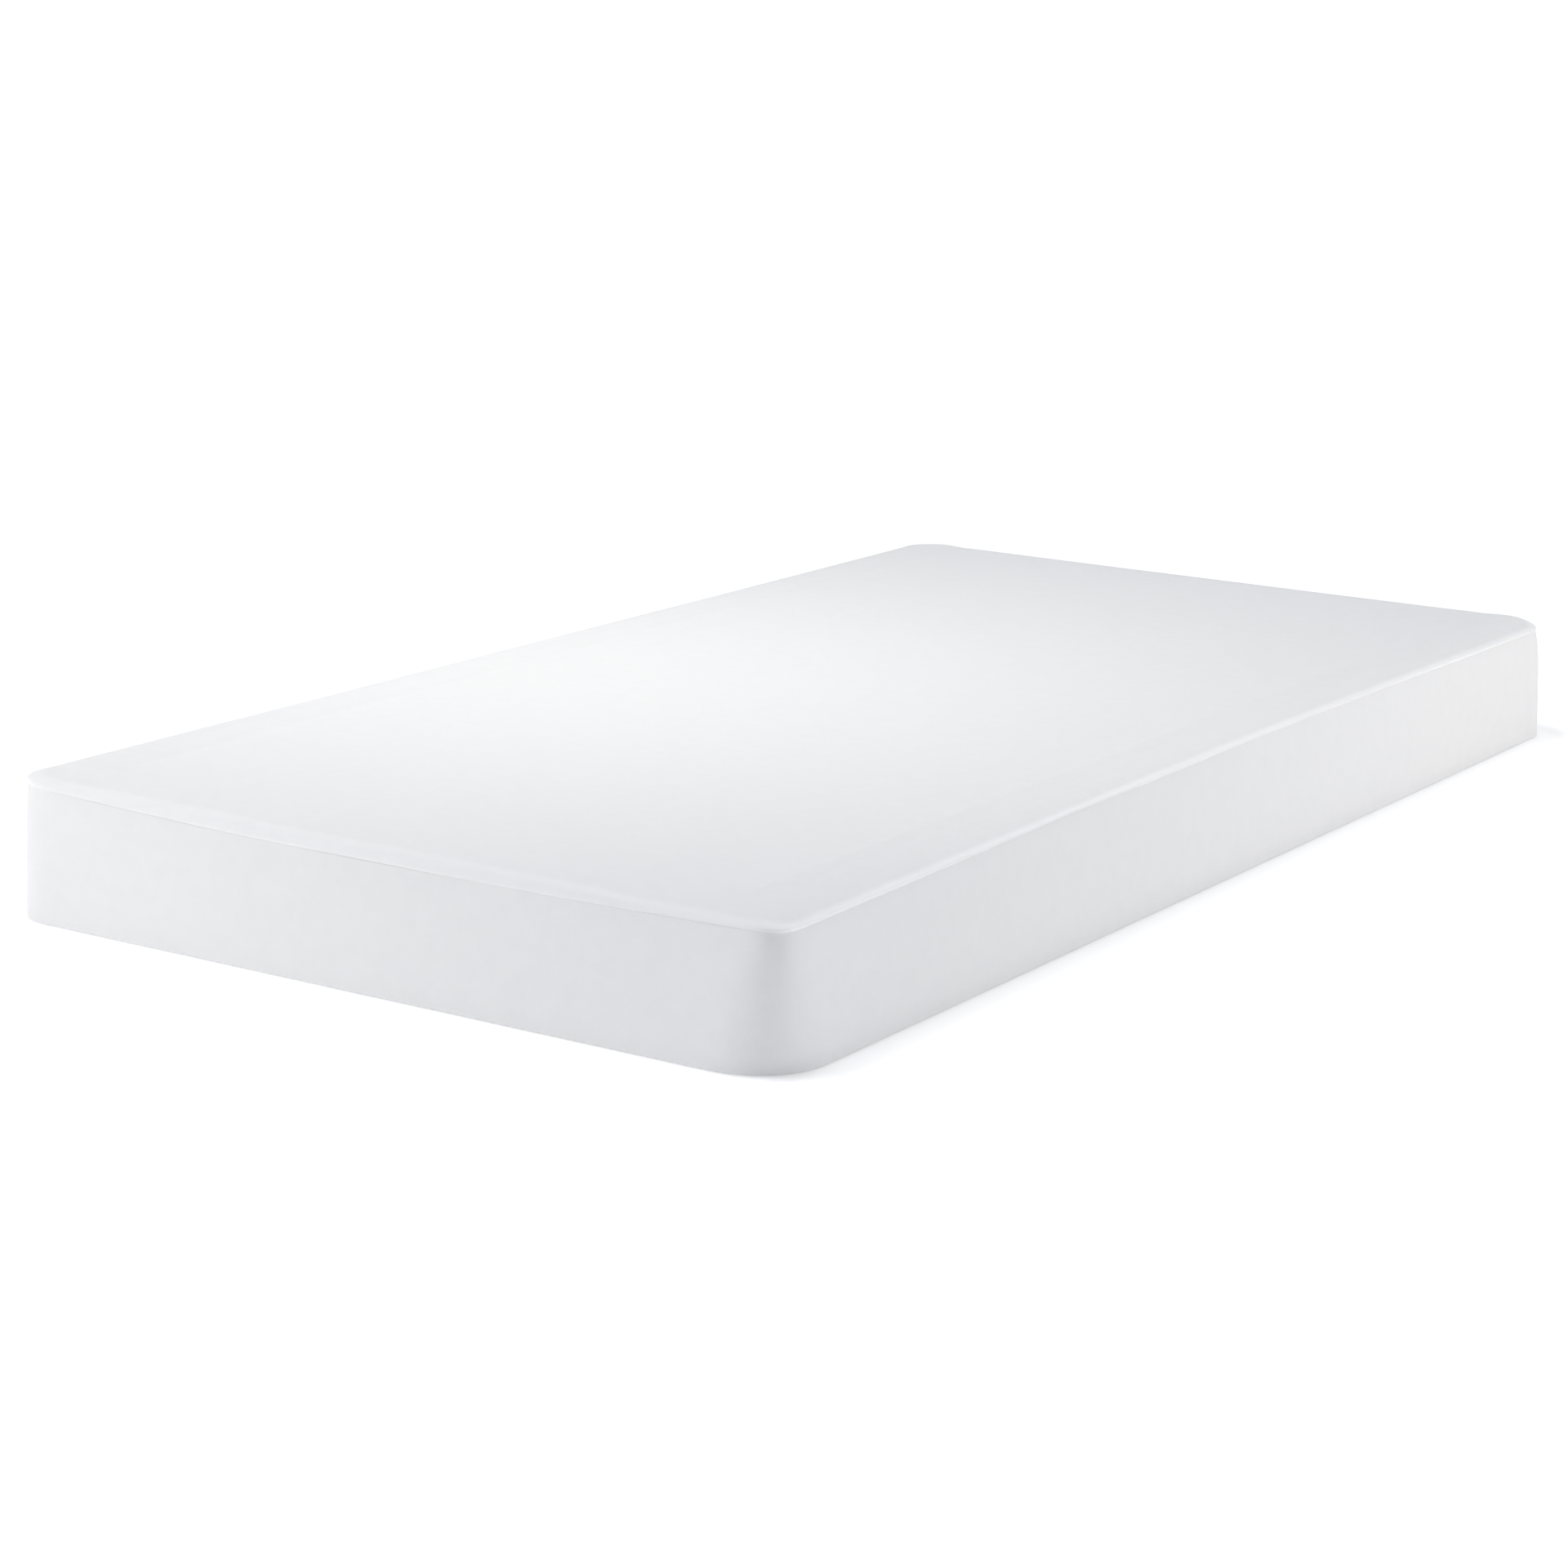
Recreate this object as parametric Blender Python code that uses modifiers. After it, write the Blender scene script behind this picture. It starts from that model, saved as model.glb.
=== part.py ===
"""A twin memory foam mattress: a foam core in a fire sock, inside a knit cover with a zip.

Metres, +Z up. X is the width, Y the length with the head end at +Y, and z = 0 is the face that the
mattress rests on. An inset is measured inwards from the outer face of the cover's border.
"""

import math

import bmesh
import bpy

# The whole mattress.
WIDTH = 0.9906
LENGTH = 1.905
HEIGHT = 0.160
CORNER_RADIUS = 0.050
CORNER_STEPS = 8
CLEARANCE = 0.0003

# The knit cover.
BORDER_THICKNESS = 0.004
TOP_SEAM_Z = 0.144
TOP_PANEL_THICKNESS = 0.003
SHOULDER_RADIUS = 0.014
SHOULDER_STEPS = 6
BOTTOM_PANEL_THICKNESS = 0.0025
SEAM_TAPE_THICKNESS = 0.001
TOP_TAPE_LOW_Z = 0.136
TOP_TAPE_HIGH_Z = 0.150
BOTTOM_TAPE_HIGH_Z = 0.014

# The core: the foam layers from the bottom up, in their sock, and the wadding over them.
SOCK_INSET = 0.0078
SOCK_THICKNESS = 0.001
CORE_INSET = SOCK_INSET + SOCK_THICKNESS + CLEARANCE
PAD_THICKNESS = 0.008
PAD_SHOULDER = 0.007
SUPPORT_FOAM_THICKNESS = 0.084
TRANSITION_FOAM_THICKNESS = 0.025

# The zip, which runs along X in the border's head end. Its sections are drawn as heights from its
# middle line and depths from the middle of its tapes, outwards.
ZIP_Z = 0.035
HEAD_STRIP_HALF_LENGTH = 0.405
SLIT_HALF_HEIGHT = 0.0075
TAPE_HALF_LENGTH = 0.400
TAPE_WIDTH = 0.0141
TAPE_THICKNESS = 0.0007
COIL_HALF_LENGTH = 0.380
COIL_INNER_EDGE = 0.00055
COIL_OUTER_EDGE = 0.0036
COIL_DEPTH = 0.0026
COIL_ROUNDING = 0.0011
COIL_STEPS = 3
STOP_LENGTH = 0.0032
STOP_DEPTH = 0.0038

# The slider's body, the bail on its front, and the pull that swings on the bail.
SLIDER_LENGTH = 0.014
SLIDER_HALF_HEIGHT = 0.0054
SLIDER_DEPTH = 0.0053
PLATE_THICKNESS = 0.001
LIP_THICKNESS = 0.0012
TAPE_SLOT = 0.0015
DIVIDER_THICKNESS = 0.0005
BAIL_HALF_LENGTH = 0.0032
BAIL_THICKNESS = 0.0024
BAIL_WALL = 0.001
BAIL_ROUNDING = 0.0009
BAIL_HOLE_HEIGHT = 0.002
HINGE_ABOVE_FRONT = 0.00125
PULL_LENGTH = 0.024
PULL_HALF_WIDTH = 0.0035
PULL_THICKNESS = 0.0012
PULL_ROUNDING = 0.0015
WINDOW_HALF_WIDTH = 0.0017
WINDOW_END = 0.0041
WINDOW_ROUNDING = 0.0004
CROSSBAR_HALF_WIDTH = 0.0006
SMALL_STEPS = 4

# The care label, sewn into the top seam at the head end.
LABEL_X = -0.30
LABEL_HALF_WIDTH = 0.045
LABEL_HALF_HEIGHT = 0.030
LABEL_ROUNDING = 0.002
LABEL_TUCK = 0.002
LABEL_THICKNESS = 0.0008

# Places worked out from the sizes.
HEAD_FACE_Y = LENGTH / 2
TAPE_Y = HEAD_FACE_Y - BORDER_THICKNESS - CLEARANCE - TAPE_THICKNESS / 2
SLIDER_X = COIL_HALF_LENGTH - CLEARANCE - SLIDER_LENGTH / 2
HINGE_DEPTH = SLIDER_DEPTH / 2 + HINGE_ABOVE_FRONT
TOP_PANEL_INSIDE_Z = HEIGHT - TOP_PANEL_THICKNESS
PAD_LOW_Z = TOP_PANEL_INSIDE_Z - CLEARANCE - PAD_THICKNESS
SOCK_LOW_Z = BOTTOM_PANEL_THICKNESS + CLEARANCE
SOCK_HIGH_Z = PAD_LOW_Z - CLEARANCE

# Turns that lay a drawn section across the X axis, or stand it up facing along Y.
ACROSS_X = (0, -math.pi / 2, 0)
FACING_Y = (math.pi / 2, 0, 0)

# Each look is a colour, a roughness and a metallic value.
KNIT_WHITE = ((0.84, 0.85, 0.86), 0.85, 0.0)
WADDING_WHITE = ((0.88, 0.88, 0.88), 0.95, 0.0)
GRIP_GREY = ((0.62, 0.63, 0.65), 0.8, 0.0)
SOCK_CREAM = ((0.80, 0.78, 0.72), 0.9, 0.0)
MEMORY_CREAM = ((0.86, 0.80, 0.62), 0.7, 0.0)
TRANSITION_BLUE = ((0.62, 0.72, 0.82), 0.7, 0.0)
SUPPORT_WHITE = ((0.80, 0.81, 0.82), 0.75, 0.0)
TAPE_WHITE = ((0.86, 0.86, 0.85), 0.7, 0.0)
NYLON_WHITE = ((0.85, 0.85, 0.84), 0.35, 0.0)
ZINC = ((0.70, 0.71, 0.73), 0.3, 1.0)
LABEL_WHITE = ((0.90, 0.90, 0.89), 0.5, 0.0)


def clear_scene():
    """Leaves an empty scene."""
    for obj in list(bpy.data.objects):
        bpy.data.objects.remove(obj, do_unlink=True)


def new_collection(name):
    """A collection linked to the scene."""
    collection = bpy.data.collections.new(name)
    bpy.context.scene.collection.children.link(collection)
    return collection


def new_material(name, colour, roughness, metallic):
    """A Principled material of one colour."""
    material = bpy.data.materials.new(name)
    material.use_nodes = True
    shader = material.node_tree.nodes["Principled BSDF"]
    shader.inputs["Base Color"].default_value = (*colour, 1.0)
    shader.inputs["Roughness"].default_value = roughness
    shader.inputs["Metallic"].default_value = metallic
    return material


def add_part(name, data, look):
    """Puts a mesh or curve in the mattress's collection, with a material of its own."""
    obj = bpy.data.objects.new(name, data)
    data.materials.append(new_material(name, *look))
    parts.objects.link(obj)
    return obj


def rounded_rectangle(half_x, half_y, radius, steps):
    """Points round a rectangle, from the left end of its top edge, down and round to the right end."""
    points = []
    for quarter, (side_x, side_y) in enumerate(((-1, 1), (-1, -1), (1, -1), (1, 1)), start=1):
        centre_x = side_x * (half_x - radius)
        centre_y = side_y * (half_y - radius)
        for step in range(steps + 1):
            angle = math.pi / 2 * (quarter + step / steps)
            points.append((centre_x + radius * math.cos(angle), centre_y + radius * math.sin(angle)))
    return points


def shifted(outline, x, y):
    """The outline moved by x and y."""
    return [(point_x + x, point_y + y) for point_x, point_y in outline]


def mattress_outline(inset):
    """The mattress's outline seen from above, this far inside the border's outer face."""
    return rounded_rectangle(
        WIDTH / 2 - inset, LENGTH / 2 - inset, CORNER_RADIUS - inset, CORNER_STEPS
    )


def flat_solid(name, outlines, thickness, look, centre, turn=(0, 0, 0)):
    """The first outline with the others cut out of it, thickened to both sides of its centre."""
    curve = bpy.data.curves.new(name, "CURVE")
    curve.dimensions = "2D"
    curve.fill_mode = "BOTH"
    curve.extrude = thickness / 2
    for outline in outlines:
        spline = curve.splines.new("POLY")
        spline.points.add(len(outline) - 1)
        spline.use_cyclic_u = True
        for point, (x, y) in zip(spline.points, outline):
            point.co = (x, y, 0, 1)
    obj = add_part(name, curve, look)
    obj.location = centre
    obj.rotation_euler = turn
    return obj


def layer(name, outlines, low, high, look):
    """A flat piece between two heights."""
    return flat_solid(name, outlines, high - low, look, (0, 0, (low + high) / 2))


def box(name, look, lowest, highest):
    """A plain box between two corners, with its origin in its middle."""
    form = bmesh.new()
    bmesh.ops.create_cube(form, size=1.0)
    size = [high - low for low, high in zip(lowest, highest)]
    bmesh.ops.scale(form, vec=size, verts=form.verts)
    mesh = bpy.data.meshes.new(name)
    form.to_mesh(mesh)
    form.free()
    obj = add_part(name, mesh, look)
    obj.location = [(low + high) / 2 for low, high in zip(lowest, highest)]
    return obj


def cushion_form(inset, low, high):
    """A box with the mattress's rounded upright corners, between two heights."""
    form = bmesh.new()
    bmesh.ops.create_cube(form, size=1.0)
    size = (WIDTH - 2 * inset, LENGTH - 2 * inset, high - low)
    bmesh.ops.scale(form, vec=size, verts=form.verts)
    bmesh.ops.translate(form, vec=(0, 0, (low + high) / 2), verts=form.verts)
    upright = [edge for edge in form.edges if edge.verts[0].co.xy == edge.verts[1].co.xy]
    bmesh.ops.bevel(
        form, geom=upright, offset=CORNER_RADIUS - inset, segments=CORNER_STEPS,
        profile=0.5, affect="EDGES",
    )
    return form


def round_shoulder(form, radius):
    """Rounds the form's top rim."""
    top = max(form.faces, key=lambda face: face.calc_center_median().z)
    bmesh.ops.bevel(
        form, geom=list(top.edges), offset=radius, segments=SHOULDER_STEPS,
        profile=0.5, affect="EDGES",
    )


def cushion_part(name, form, look, wall=0.0):
    """Makes the form a part. With a wall, it is a shell of that thickness, measured inwards."""
    mesh = bpy.data.meshes.new(name)
    form.to_mesh(mesh)
    form.free()
    mesh.shade_smooth()
    obj = add_part(name, mesh, look)
    if wall:
        shell = obj.modifiers.new("Wall", "SOLIDIFY")
        shell.thickness = wall
        shell.offset = -1
        shell.solidify_mode = "NON_MANIFOLD"
        shell.nonmanifold_thickness_mode = "CONSTRAINTS"
    return obj


def as_mesh(obj):
    """Replaces a curve object by a mesh object of the same name and place, its caps welded on."""
    bpy.context.view_layer.update()
    evaluated = obj.evaluated_get(bpy.context.evaluated_depsgraph_get())
    mesh = bpy.data.meshes.new_from_object(evaluated)
    form = bmesh.new()
    form.from_mesh(mesh)
    bmesh.ops.remove_doubles(form, verts=form.verts, dist=1e-6)
    form.to_mesh(mesh)
    form.free()
    name = obj.name
    place = obj.matrix_world.copy()
    bpy.data.objects.remove(obj, do_unlink=True)
    solid = bpy.data.objects.new(name, mesh)
    solid.matrix_world = place
    parts.objects.link(solid)
    return solid


def join(solid, addition):
    """Adds one mesh to another by a union, and keeps the addition as a hidden helper."""
    union = solid.modifiers.new(addition.name, "BOOLEAN")
    union.operation = "UNION"
    union.object = addition
    parts.objects.unlink(addition)
    helpers.objects.link(addition)
    addition.hide_render = True
    addition.display_type = "WIRE"


def make_core():
    """Three foam layers, the sock that is open at the head end, and the wadding on top."""
    outline = [mattress_outline(CORE_INSET)]
    support_low = SOCK_LOW_Z + SOCK_THICKNESS + CLEARANCE
    support_high = support_low + SUPPORT_FOAM_THICKNESS
    layer("support_foam", outline, support_low, support_high, SUPPORT_WHITE)
    transition_low = support_high + CLEARANCE
    transition_high = transition_low + TRANSITION_FOAM_THICKNESS
    layer("transition_foam", outline, transition_low, transition_high, TRANSITION_BLUE)
    memory_high = SOCK_HIGH_Z - SOCK_THICKNESS - CLEARANCE
    layer("memory_foam", outline, transition_high + CLEARANCE, memory_high, MEMORY_CREAM)

    sock = cushion_form(SOCK_INSET, SOCK_LOW_Z, SOCK_HIGH_Z)
    head_face = max(sock.faces, key=lambda face: face.calc_center_median().y)
    bmesh.ops.delete(sock, geom=[head_face], context="FACES")
    cushion_part("fire_sock", sock, SOCK_CREAM, SOCK_THICKNESS)

    pad = cushion_form(CORE_INSET, PAD_LOW_Z, PAD_LOW_Z + PAD_THICKNESS)
    round_shoulder(pad, PAD_SHOULDER)
    cushion_part("fibre_pad", pad, WADDING_WHITE)


def seam_tape(name, low, high):
    """A tape round the inside of the border, which a seam is sewn through."""
    outer = BORDER_THICKNESS + CLEARANCE
    ring = [mattress_outline(outer), mattress_outline(outer + SEAM_TAPE_THICKNESS)]
    layer(name, ring, low, high, TAPE_WHITE)


def make_top_panel():
    """The knit top, which rolls over the shoulders down to the top seam, and the tape in that seam."""
    panel = cushion_form(0, TOP_SEAM_Z + CLEARANCE, HEIGHT)
    round_shoulder(panel, SHOULDER_RADIUS)
    underside = min(panel.faces, key=lambda face: face.calc_center_median().z)
    bmesh.ops.delete(panel, geom=[underside], context="FACES")
    cushion_part("top_panel", panel, KNIT_WHITE, TOP_PANEL_THICKNESS)
    seam_tape("top_seam_tape", TOP_TAPE_LOW_Z, TOP_TAPE_HIGH_Z)


def make_border():
    """The border: one band round the foot end and sides, and two strips that leave the zip's slit."""
    low = BOTTOM_PANEL_THICKNESS + CLEARANCE
    outer = mattress_outline(0)
    inner = mattress_outline(BORDER_THICKNESS)
    end_x = HEAD_STRIP_HALF_LENGTH
    inner_y = HEAD_FACE_Y - BORDER_THICKNESS
    outer = [(-end_x, HEAD_FACE_Y), *outer, (end_x, HEAD_FACE_Y)]
    inner = [(-end_x, inner_y), *inner, (end_x, inner_y)]
    layer("side_border", [outer + inner[::-1]], low, TOP_SEAM_Z, KNIT_WHITE)

    strip_x = end_x - CLEARANCE
    slit_low = ZIP_Z - SLIT_HALF_HEIGHT
    slit_high = ZIP_Z + SLIT_HALF_HEIGHT
    box("head_border_lower", KNIT_WHITE, (-strip_x, inner_y, low), (strip_x, HEAD_FACE_Y, slit_low))
    box("head_border_upper", KNIT_WHITE,
        (-strip_x, inner_y, slit_high), (strip_x, HEAD_FACE_Y, TOP_SEAM_Z))


def make_underside():
    """The grip fabric that the mattress rests on, and the tape in the bottom seam."""
    layer("bottom_panel", [mattress_outline(0)], 0, BOTTOM_PANEL_THICKNESS, GRIP_GREY)
    seam_tape("bottom_seam_tape", BOTTOM_PANEL_THICKNESS + CLEARANCE, BOTTOM_TAPE_HIGH_Z)


def make_zip_row(name, side):
    """One tape and its coil, above the zip's middle line for side 1 and below it for side -1."""
    tape_edges = sorted(ZIP_Z + side * (COIL_OUTER_EDGE + CLEARANCE + width)
                        for width in (0, TAPE_WIDTH))
    box("zip_tape_" + name, TAPE_WHITE,
        (-TAPE_HALF_LENGTH, TAPE_Y - TAPE_THICKNESS / 2, tape_edges[0]),
        (TAPE_HALF_LENGTH, TAPE_Y + TAPE_THICKNESS / 2, tape_edges[1]))
    half_height = (COIL_OUTER_EDGE - COIL_INNER_EDGE) / 2
    middle_z = ZIP_Z + side * (COIL_OUTER_EDGE + COIL_INNER_EDGE) / 2
    section = rounded_rectangle(half_height, COIL_DEPTH / 2, COIL_ROUNDING, COIL_STEPS)
    flat_solid("zip_coil_" + name, [section], 2 * COIL_HALF_LENGTH, NYLON_WHITE,
               (0, TAPE_Y, middle_z), ACROSS_X)


def make_stop(name, side, low, high):
    """A stop clipped on the coils' ends, at the +X end for side 1, between two heights."""
    ends = sorted(side * (COIL_HALF_LENGTH + CLEARANCE + along) for along in (0, STOP_LENGTH))
    box(name, ZINC,
        (ends[0], TAPE_Y - STOP_DEPTH / 2, ZIP_Z + low),
        (ends[1], TAPE_Y + STOP_DEPTH / 2, ZIP_Z + high))


def slider_section():
    """The slider seen from its end: two plates on a divider, with lips that leave the tape slots."""
    front = SLIDER_DEPTH / 2
    channel = front - PLATE_THICKNESS
    slot = TAPE_SLOT / 2
    lip = SLIDER_HALF_HEIGHT - LIP_THICKNESS
    quarter = [(DIVIDER_THICKNESS / 2, channel), (lip, channel), (lip, slot),
               (SLIDER_HALF_HEIGHT, slot), (SLIDER_HALF_HEIGHT, front)]
    front_half = quarter + [(-height, depth) for height, depth in quarter[::-1]]
    return front_half + [(-height, -depth) for height, depth in front_half]


def make_slider():
    """The slider, parked at the closed zip's +X end, with the bail that holds the pull."""
    centre = (SLIDER_X, TAPE_Y, ZIP_Z)
    slider = as_mesh(flat_solid("zip_slider", [slider_section()], SLIDER_LENGTH, ZINC,
                                centre, ACROSS_X))
    hole_top = HINGE_DEPTH + BAIL_HOLE_HEIGHT / 2
    outside_top = hole_top + BAIL_WALL
    root = SLIDER_DEPTH / 2 - PLATE_THICKNESS / 2
    outside = rounded_rectangle(BAIL_HALF_LENGTH, (outside_top - root) / 2, BAIL_ROUNDING, SMALL_STEPS)
    hole = rounded_rectangle(BAIL_HALF_LENGTH - BAIL_WALL, BAIL_HOLE_HEIGHT / 2,
                             BAIL_ROUNDING / 2, SMALL_STEPS)
    outlines = [shifted(outside, 0, (outside_top + root) / 2), shifted(hole, 0, HINGE_DEPTH)]
    bail = as_mesh(flat_solid("zip_bail", outlines, BAIL_THICKNESS, ZINC, centre))
    join(slider, bail)
    return slider


def make_pull(slider):
    """The pull, flat against the zip, with its origin on the crossbar that turns in the bail."""
    half_length = (PULL_LENGTH + CROSSBAR_HALF_WIDTH) / 2
    plate = rounded_rectangle(half_length, PULL_HALF_WIDTH, PULL_ROUNDING, SMALL_STEPS)
    plate = shifted(plate, CROSSBAR_HALF_WIDTH - half_length, 0)
    window_half_length = (WINDOW_END - CROSSBAR_HALF_WIDTH) / 2
    window = rounded_rectangle(window_half_length, WINDOW_HALF_WIDTH, WINDOW_ROUNDING, SMALL_STEPS)
    window = shifted(window, -CROSSBAR_HALF_WIDTH - window_half_length, 0)
    pull = flat_solid("zip_pull", [plate, window], PULL_THICKNESS, ZINC,
                      (SLIDER_X, TAPE_Y + HINGE_DEPTH, ZIP_Z), FACING_Y)
    bpy.context.view_layer.update()
    pull.parent = slider
    pull.matrix_parent_inverse = slider.matrix_world.inverted()


def make_zip():
    """The whole zip, closed."""
    make_zip_row("upper", 1)
    make_zip_row("lower", -1)
    make_stop("zip_top_stop_upper", 1, COIL_INNER_EDGE, COIL_OUTER_EDGE)
    make_stop("zip_top_stop_lower", 1, -COIL_OUTER_EDGE, -COIL_INNER_EDGE)
    make_stop("zip_bottom_stop", -1, -COIL_OUTER_EDGE, COIL_OUTER_EDGE)
    make_pull(make_slider())


def make_label():
    """The blank care label, hanging down the head end from the top seam."""
    outline = rounded_rectangle(LABEL_HALF_WIDTH, LABEL_HALF_HEIGHT, LABEL_ROUNDING, SMALL_STEPS)
    centre = (LABEL_X, HEAD_FACE_Y + CLEARANCE + LABEL_THICKNESS / 2,
              TOP_SEAM_Z - LABEL_TUCK - LABEL_HALF_HEIGHT)
    flat_solid("care_label", [outline], LABEL_THICKNESS, LABEL_WHITE, centre, FACING_Y)


clear_scene()
parts = new_collection("memory_foam_mattress")
helpers = new_collection("helpers")
helpers.hide_render = True
make_core()
make_top_panel()
make_border()
make_underside()
make_zip()
make_label()
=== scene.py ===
"""The looks of a twin memory foam mattress: its knit cover, zip, label, foam core and studio.

Metres, +Z up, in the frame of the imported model. A ring is a row of points that runs round the
mattress, counterclockwise from above, from the middle of the foot-left corner. Rings are listed from
the middle of the underside outwards, up the border and inwards over the top, so that every face built
between them points out. An inset is measured inwards from the outer face of the border.
"""

import math

import bmesh
import bpy
import numpy as np
from mathutils import Matrix, Vector, noise


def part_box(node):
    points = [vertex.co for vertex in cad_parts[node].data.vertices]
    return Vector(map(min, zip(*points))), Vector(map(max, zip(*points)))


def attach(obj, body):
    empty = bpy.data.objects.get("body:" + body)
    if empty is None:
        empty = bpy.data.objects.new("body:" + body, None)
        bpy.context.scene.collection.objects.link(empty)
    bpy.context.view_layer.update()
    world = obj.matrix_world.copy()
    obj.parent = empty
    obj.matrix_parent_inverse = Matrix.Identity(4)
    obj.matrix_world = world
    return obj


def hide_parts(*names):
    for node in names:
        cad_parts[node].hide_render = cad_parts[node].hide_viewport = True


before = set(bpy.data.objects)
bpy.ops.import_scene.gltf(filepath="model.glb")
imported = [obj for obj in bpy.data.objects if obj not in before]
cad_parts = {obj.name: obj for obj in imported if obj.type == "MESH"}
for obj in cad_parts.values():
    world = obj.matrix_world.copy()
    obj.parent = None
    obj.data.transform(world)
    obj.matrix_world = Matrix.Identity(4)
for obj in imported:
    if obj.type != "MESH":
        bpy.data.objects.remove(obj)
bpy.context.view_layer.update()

# The mattress's sizes, from the frame.
BORDER_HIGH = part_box("side_border")[1]
HALF_X = BORDER_HIGH.x
HALF_Y = BORDER_HIGH.y
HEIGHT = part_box("top_panel")[1].z
SEAM_Z = BORDER_HIGH.z
CROWN_Z = HEIGHT - 0.0012

# The seam's height in the middle of each side; at the foot and the right it varies from there.
FOOT_SEAM_Z = 0.1415
RIGHT_SEAM_Z = 0.1548
HEAD_SEAM_Z = SEAM_Z + 0.0015
LEFT_SEAM_Z = 0.1525

# The four sides in ring order, as the direction along each and the direction out of it.
FOOT, RIGHT, HEAD, LEFT = range(4)
ALONG = np.array([(1, 0), (0, 1), (-1, 0), (0, -1)], float)
OUTWARD = np.array([(0, -1), (1, 0), (0, 1), (-1, 0)], float)
COLUMN_SPACING = 0.017
COLUMNS_X = round(2 * HALF_X / COLUMN_SPACING)
COLUMNS_Y = round(2 * HALF_Y / COLUMN_SPACING)

# Corner radii seen from above, from the foot-left corner counterclockwise.
TOP_RADII = np.array((0.050, 0.025, 0.050, 0.050))
BOTTOM_RADII = np.array((0.040, 0.080, 0.026, 0.040))
# Rings have turned square-cornered at this inset, where the grids that close them begin.
SQUARE_INSET = 0.088
# The tightest corner of an inner piece's upright wall.
SMALLEST_RADIUS = 0.014

# The cloth simulation that swells the cover over its filling.
SWELL_PRESSURE = 4.0
SWELL_FRAMES = 20

# How far the simulation may move a point of the top and of the border.
TOP_SWELL = 0.0016
BORDER_SWELL = 0.0007

# Thicknesses of the fabrics and the gap between nested pieces.
KNIT_THICKNESS = 0.0018
GRIP_THICKNESS = 0.0012
SOCK_THICKNESS = 0.0009
GAP = 0.0003

# The top panel from its seam inwards: the inset at the ends and the left, the inset at the right, the share
# of the roll's height, and the share of the crown's rise above the roll.
PANEL_ROWS = (
    (0.0002, 0.0040, 0.00, 0.00),
    (-0.0001, 0.0037, 0.06, 0.00),
    (-0.0003, 0.0034, 0.16, 0.00),
    (-0.0003, 0.0031, 0.36, 0.00),
    (0.0008, 0.0033, 0.60, 0.00),
    (0.0036, 0.0043, 0.81, 0.00),
    (0.0082, 0.0064, 0.94, 0.00),
    (0.0130, 0.0098, 1.00, 0.01),
    (0.0180, 0.0145, 1.00, 0.08),
    (0.0245, 0.0215, 1.00, 0.20),
    (0.0325, 0.0305, 1.00, 0.38),
    (0.0440, 0.0430, 1.00, 0.65),
    (0.0620, 0.0620, 1.00, 0.91),
    (0.0880, 0.0880, 1.00, 1.00),
)

# A painted highlight that whitens the knit along the top seam, to light its roll and ridge: the share of
# each of the first rows, and of each side in ring order.
SEAM_HIGHLIGHT_ROWS = (1.0, 1.0, 1.0, 1.0, 1.0, 1.0, 0.9, 0.5, 0.0)
SEAM_HIGHLIGHT_SIDES = (0.45, 1.0, 0.3, 0.3)

# The border from its lower edge up to the top seam, as the inset at the ends and the left, the inset
# at the right, and a height for the low rows or a depth below the seam for the high rows.
BORDER_LOW_ROWS = (
    (0.0034, 0.0034, 0.0005),
    (0.0010, 0.0010, 0.0005),
    (0.0002, 0.0002, 0.0012),
    (0.0001, 0.0001, 0.0034),
)
BORDER_MIDDLE_ROWS = 5
BORDER_BULGE = 0.0004
BORDER_HIGH_ROWS = (
    (-0.0003, 0.0006, 0.0270),
    (-0.0002, 0.0016, 0.0170),
    (-0.0001, 0.0028, 0.0095),
    (0.0000, 0.0037, 0.0045),
    (0.0001, 0.0041, 0.0018),
    (0.0002, 0.0041, 0.0007),
    (0.0002, 0.0040, 0.0001),
)
STRIP_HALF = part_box("head_border_upper")[1].x
STUB_COLUMNS = 6

# The underside from its middle outwards, as the inset and the height.
BASE_ROWS = (
    (0.088, 0.0007),
    (0.060, 0.0007),
    (0.030, 0.0007),
    (0.012, 0.0007),
    (0.0065, 0.0008),
    (0.0047, 0.0011),
    (0.0041, 0.0017),
)


# ---------------------------------------------------------------- rings round the mattress

def side_half(side, inset):
    """Half a side's length, measured between the corners' outermost points, at this inset."""
    return (HALF_X if side in (FOOT, HEAD) else HALF_Y) - inset


def side_length(side, inset, radii):
    """The length of a side from the middle of one corner's arc to the middle of the next."""
    arcs = (math.pi / 4 - 1) * (radii[side] + radii[(side + 1) % 4])
    return 2 * side_half(side, inset) + arcs


def side_points(side, inset, radii, lengths):
    """The points at these lengths along a side, and the directions out of it there."""
    half = side_half(side, inset)
    reach = side_half((side + 1) % 4, inset)
    first = max(radii[side], 1e-6)
    last = max(radii[(side + 1) % 4], 1e-6)
    total = side_length(side, inset, radii)
    before = np.clip(math.pi / 4 - lengths / first, 0, None)
    after = np.clip(math.pi / 4 - (total - lengths) / last, 0, None)
    straight = np.clip(lengths - math.pi / 4 * first, 0, 2 * half - first - last)
    turn = (after - before)[:, None]
    outwards = OUTWARD[side] * np.cos(turn) + ALONG[side] * np.sin(turn)
    radius = np.where(turn > 0, last, first)
    centres = ALONG[side] * (first - half + straight)[:, None] + OUTWARD[side] * (reach - radius)
    return centres + radius * outwards, outwards


def side_row(side, count, inset, radii):
    """Evenly spaced points along a side, without its last one, and the directions out of it."""
    lengths = np.linspace(0, side_length(side, inset, radii), count, endpoint=False)
    return side_points(side, inset, radii, lengths)


def chained(parts):
    """The points of several stretches as one array, and their outward directions as another."""
    return tuple(np.concatenate(column) for column in zip(*parts))


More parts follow.
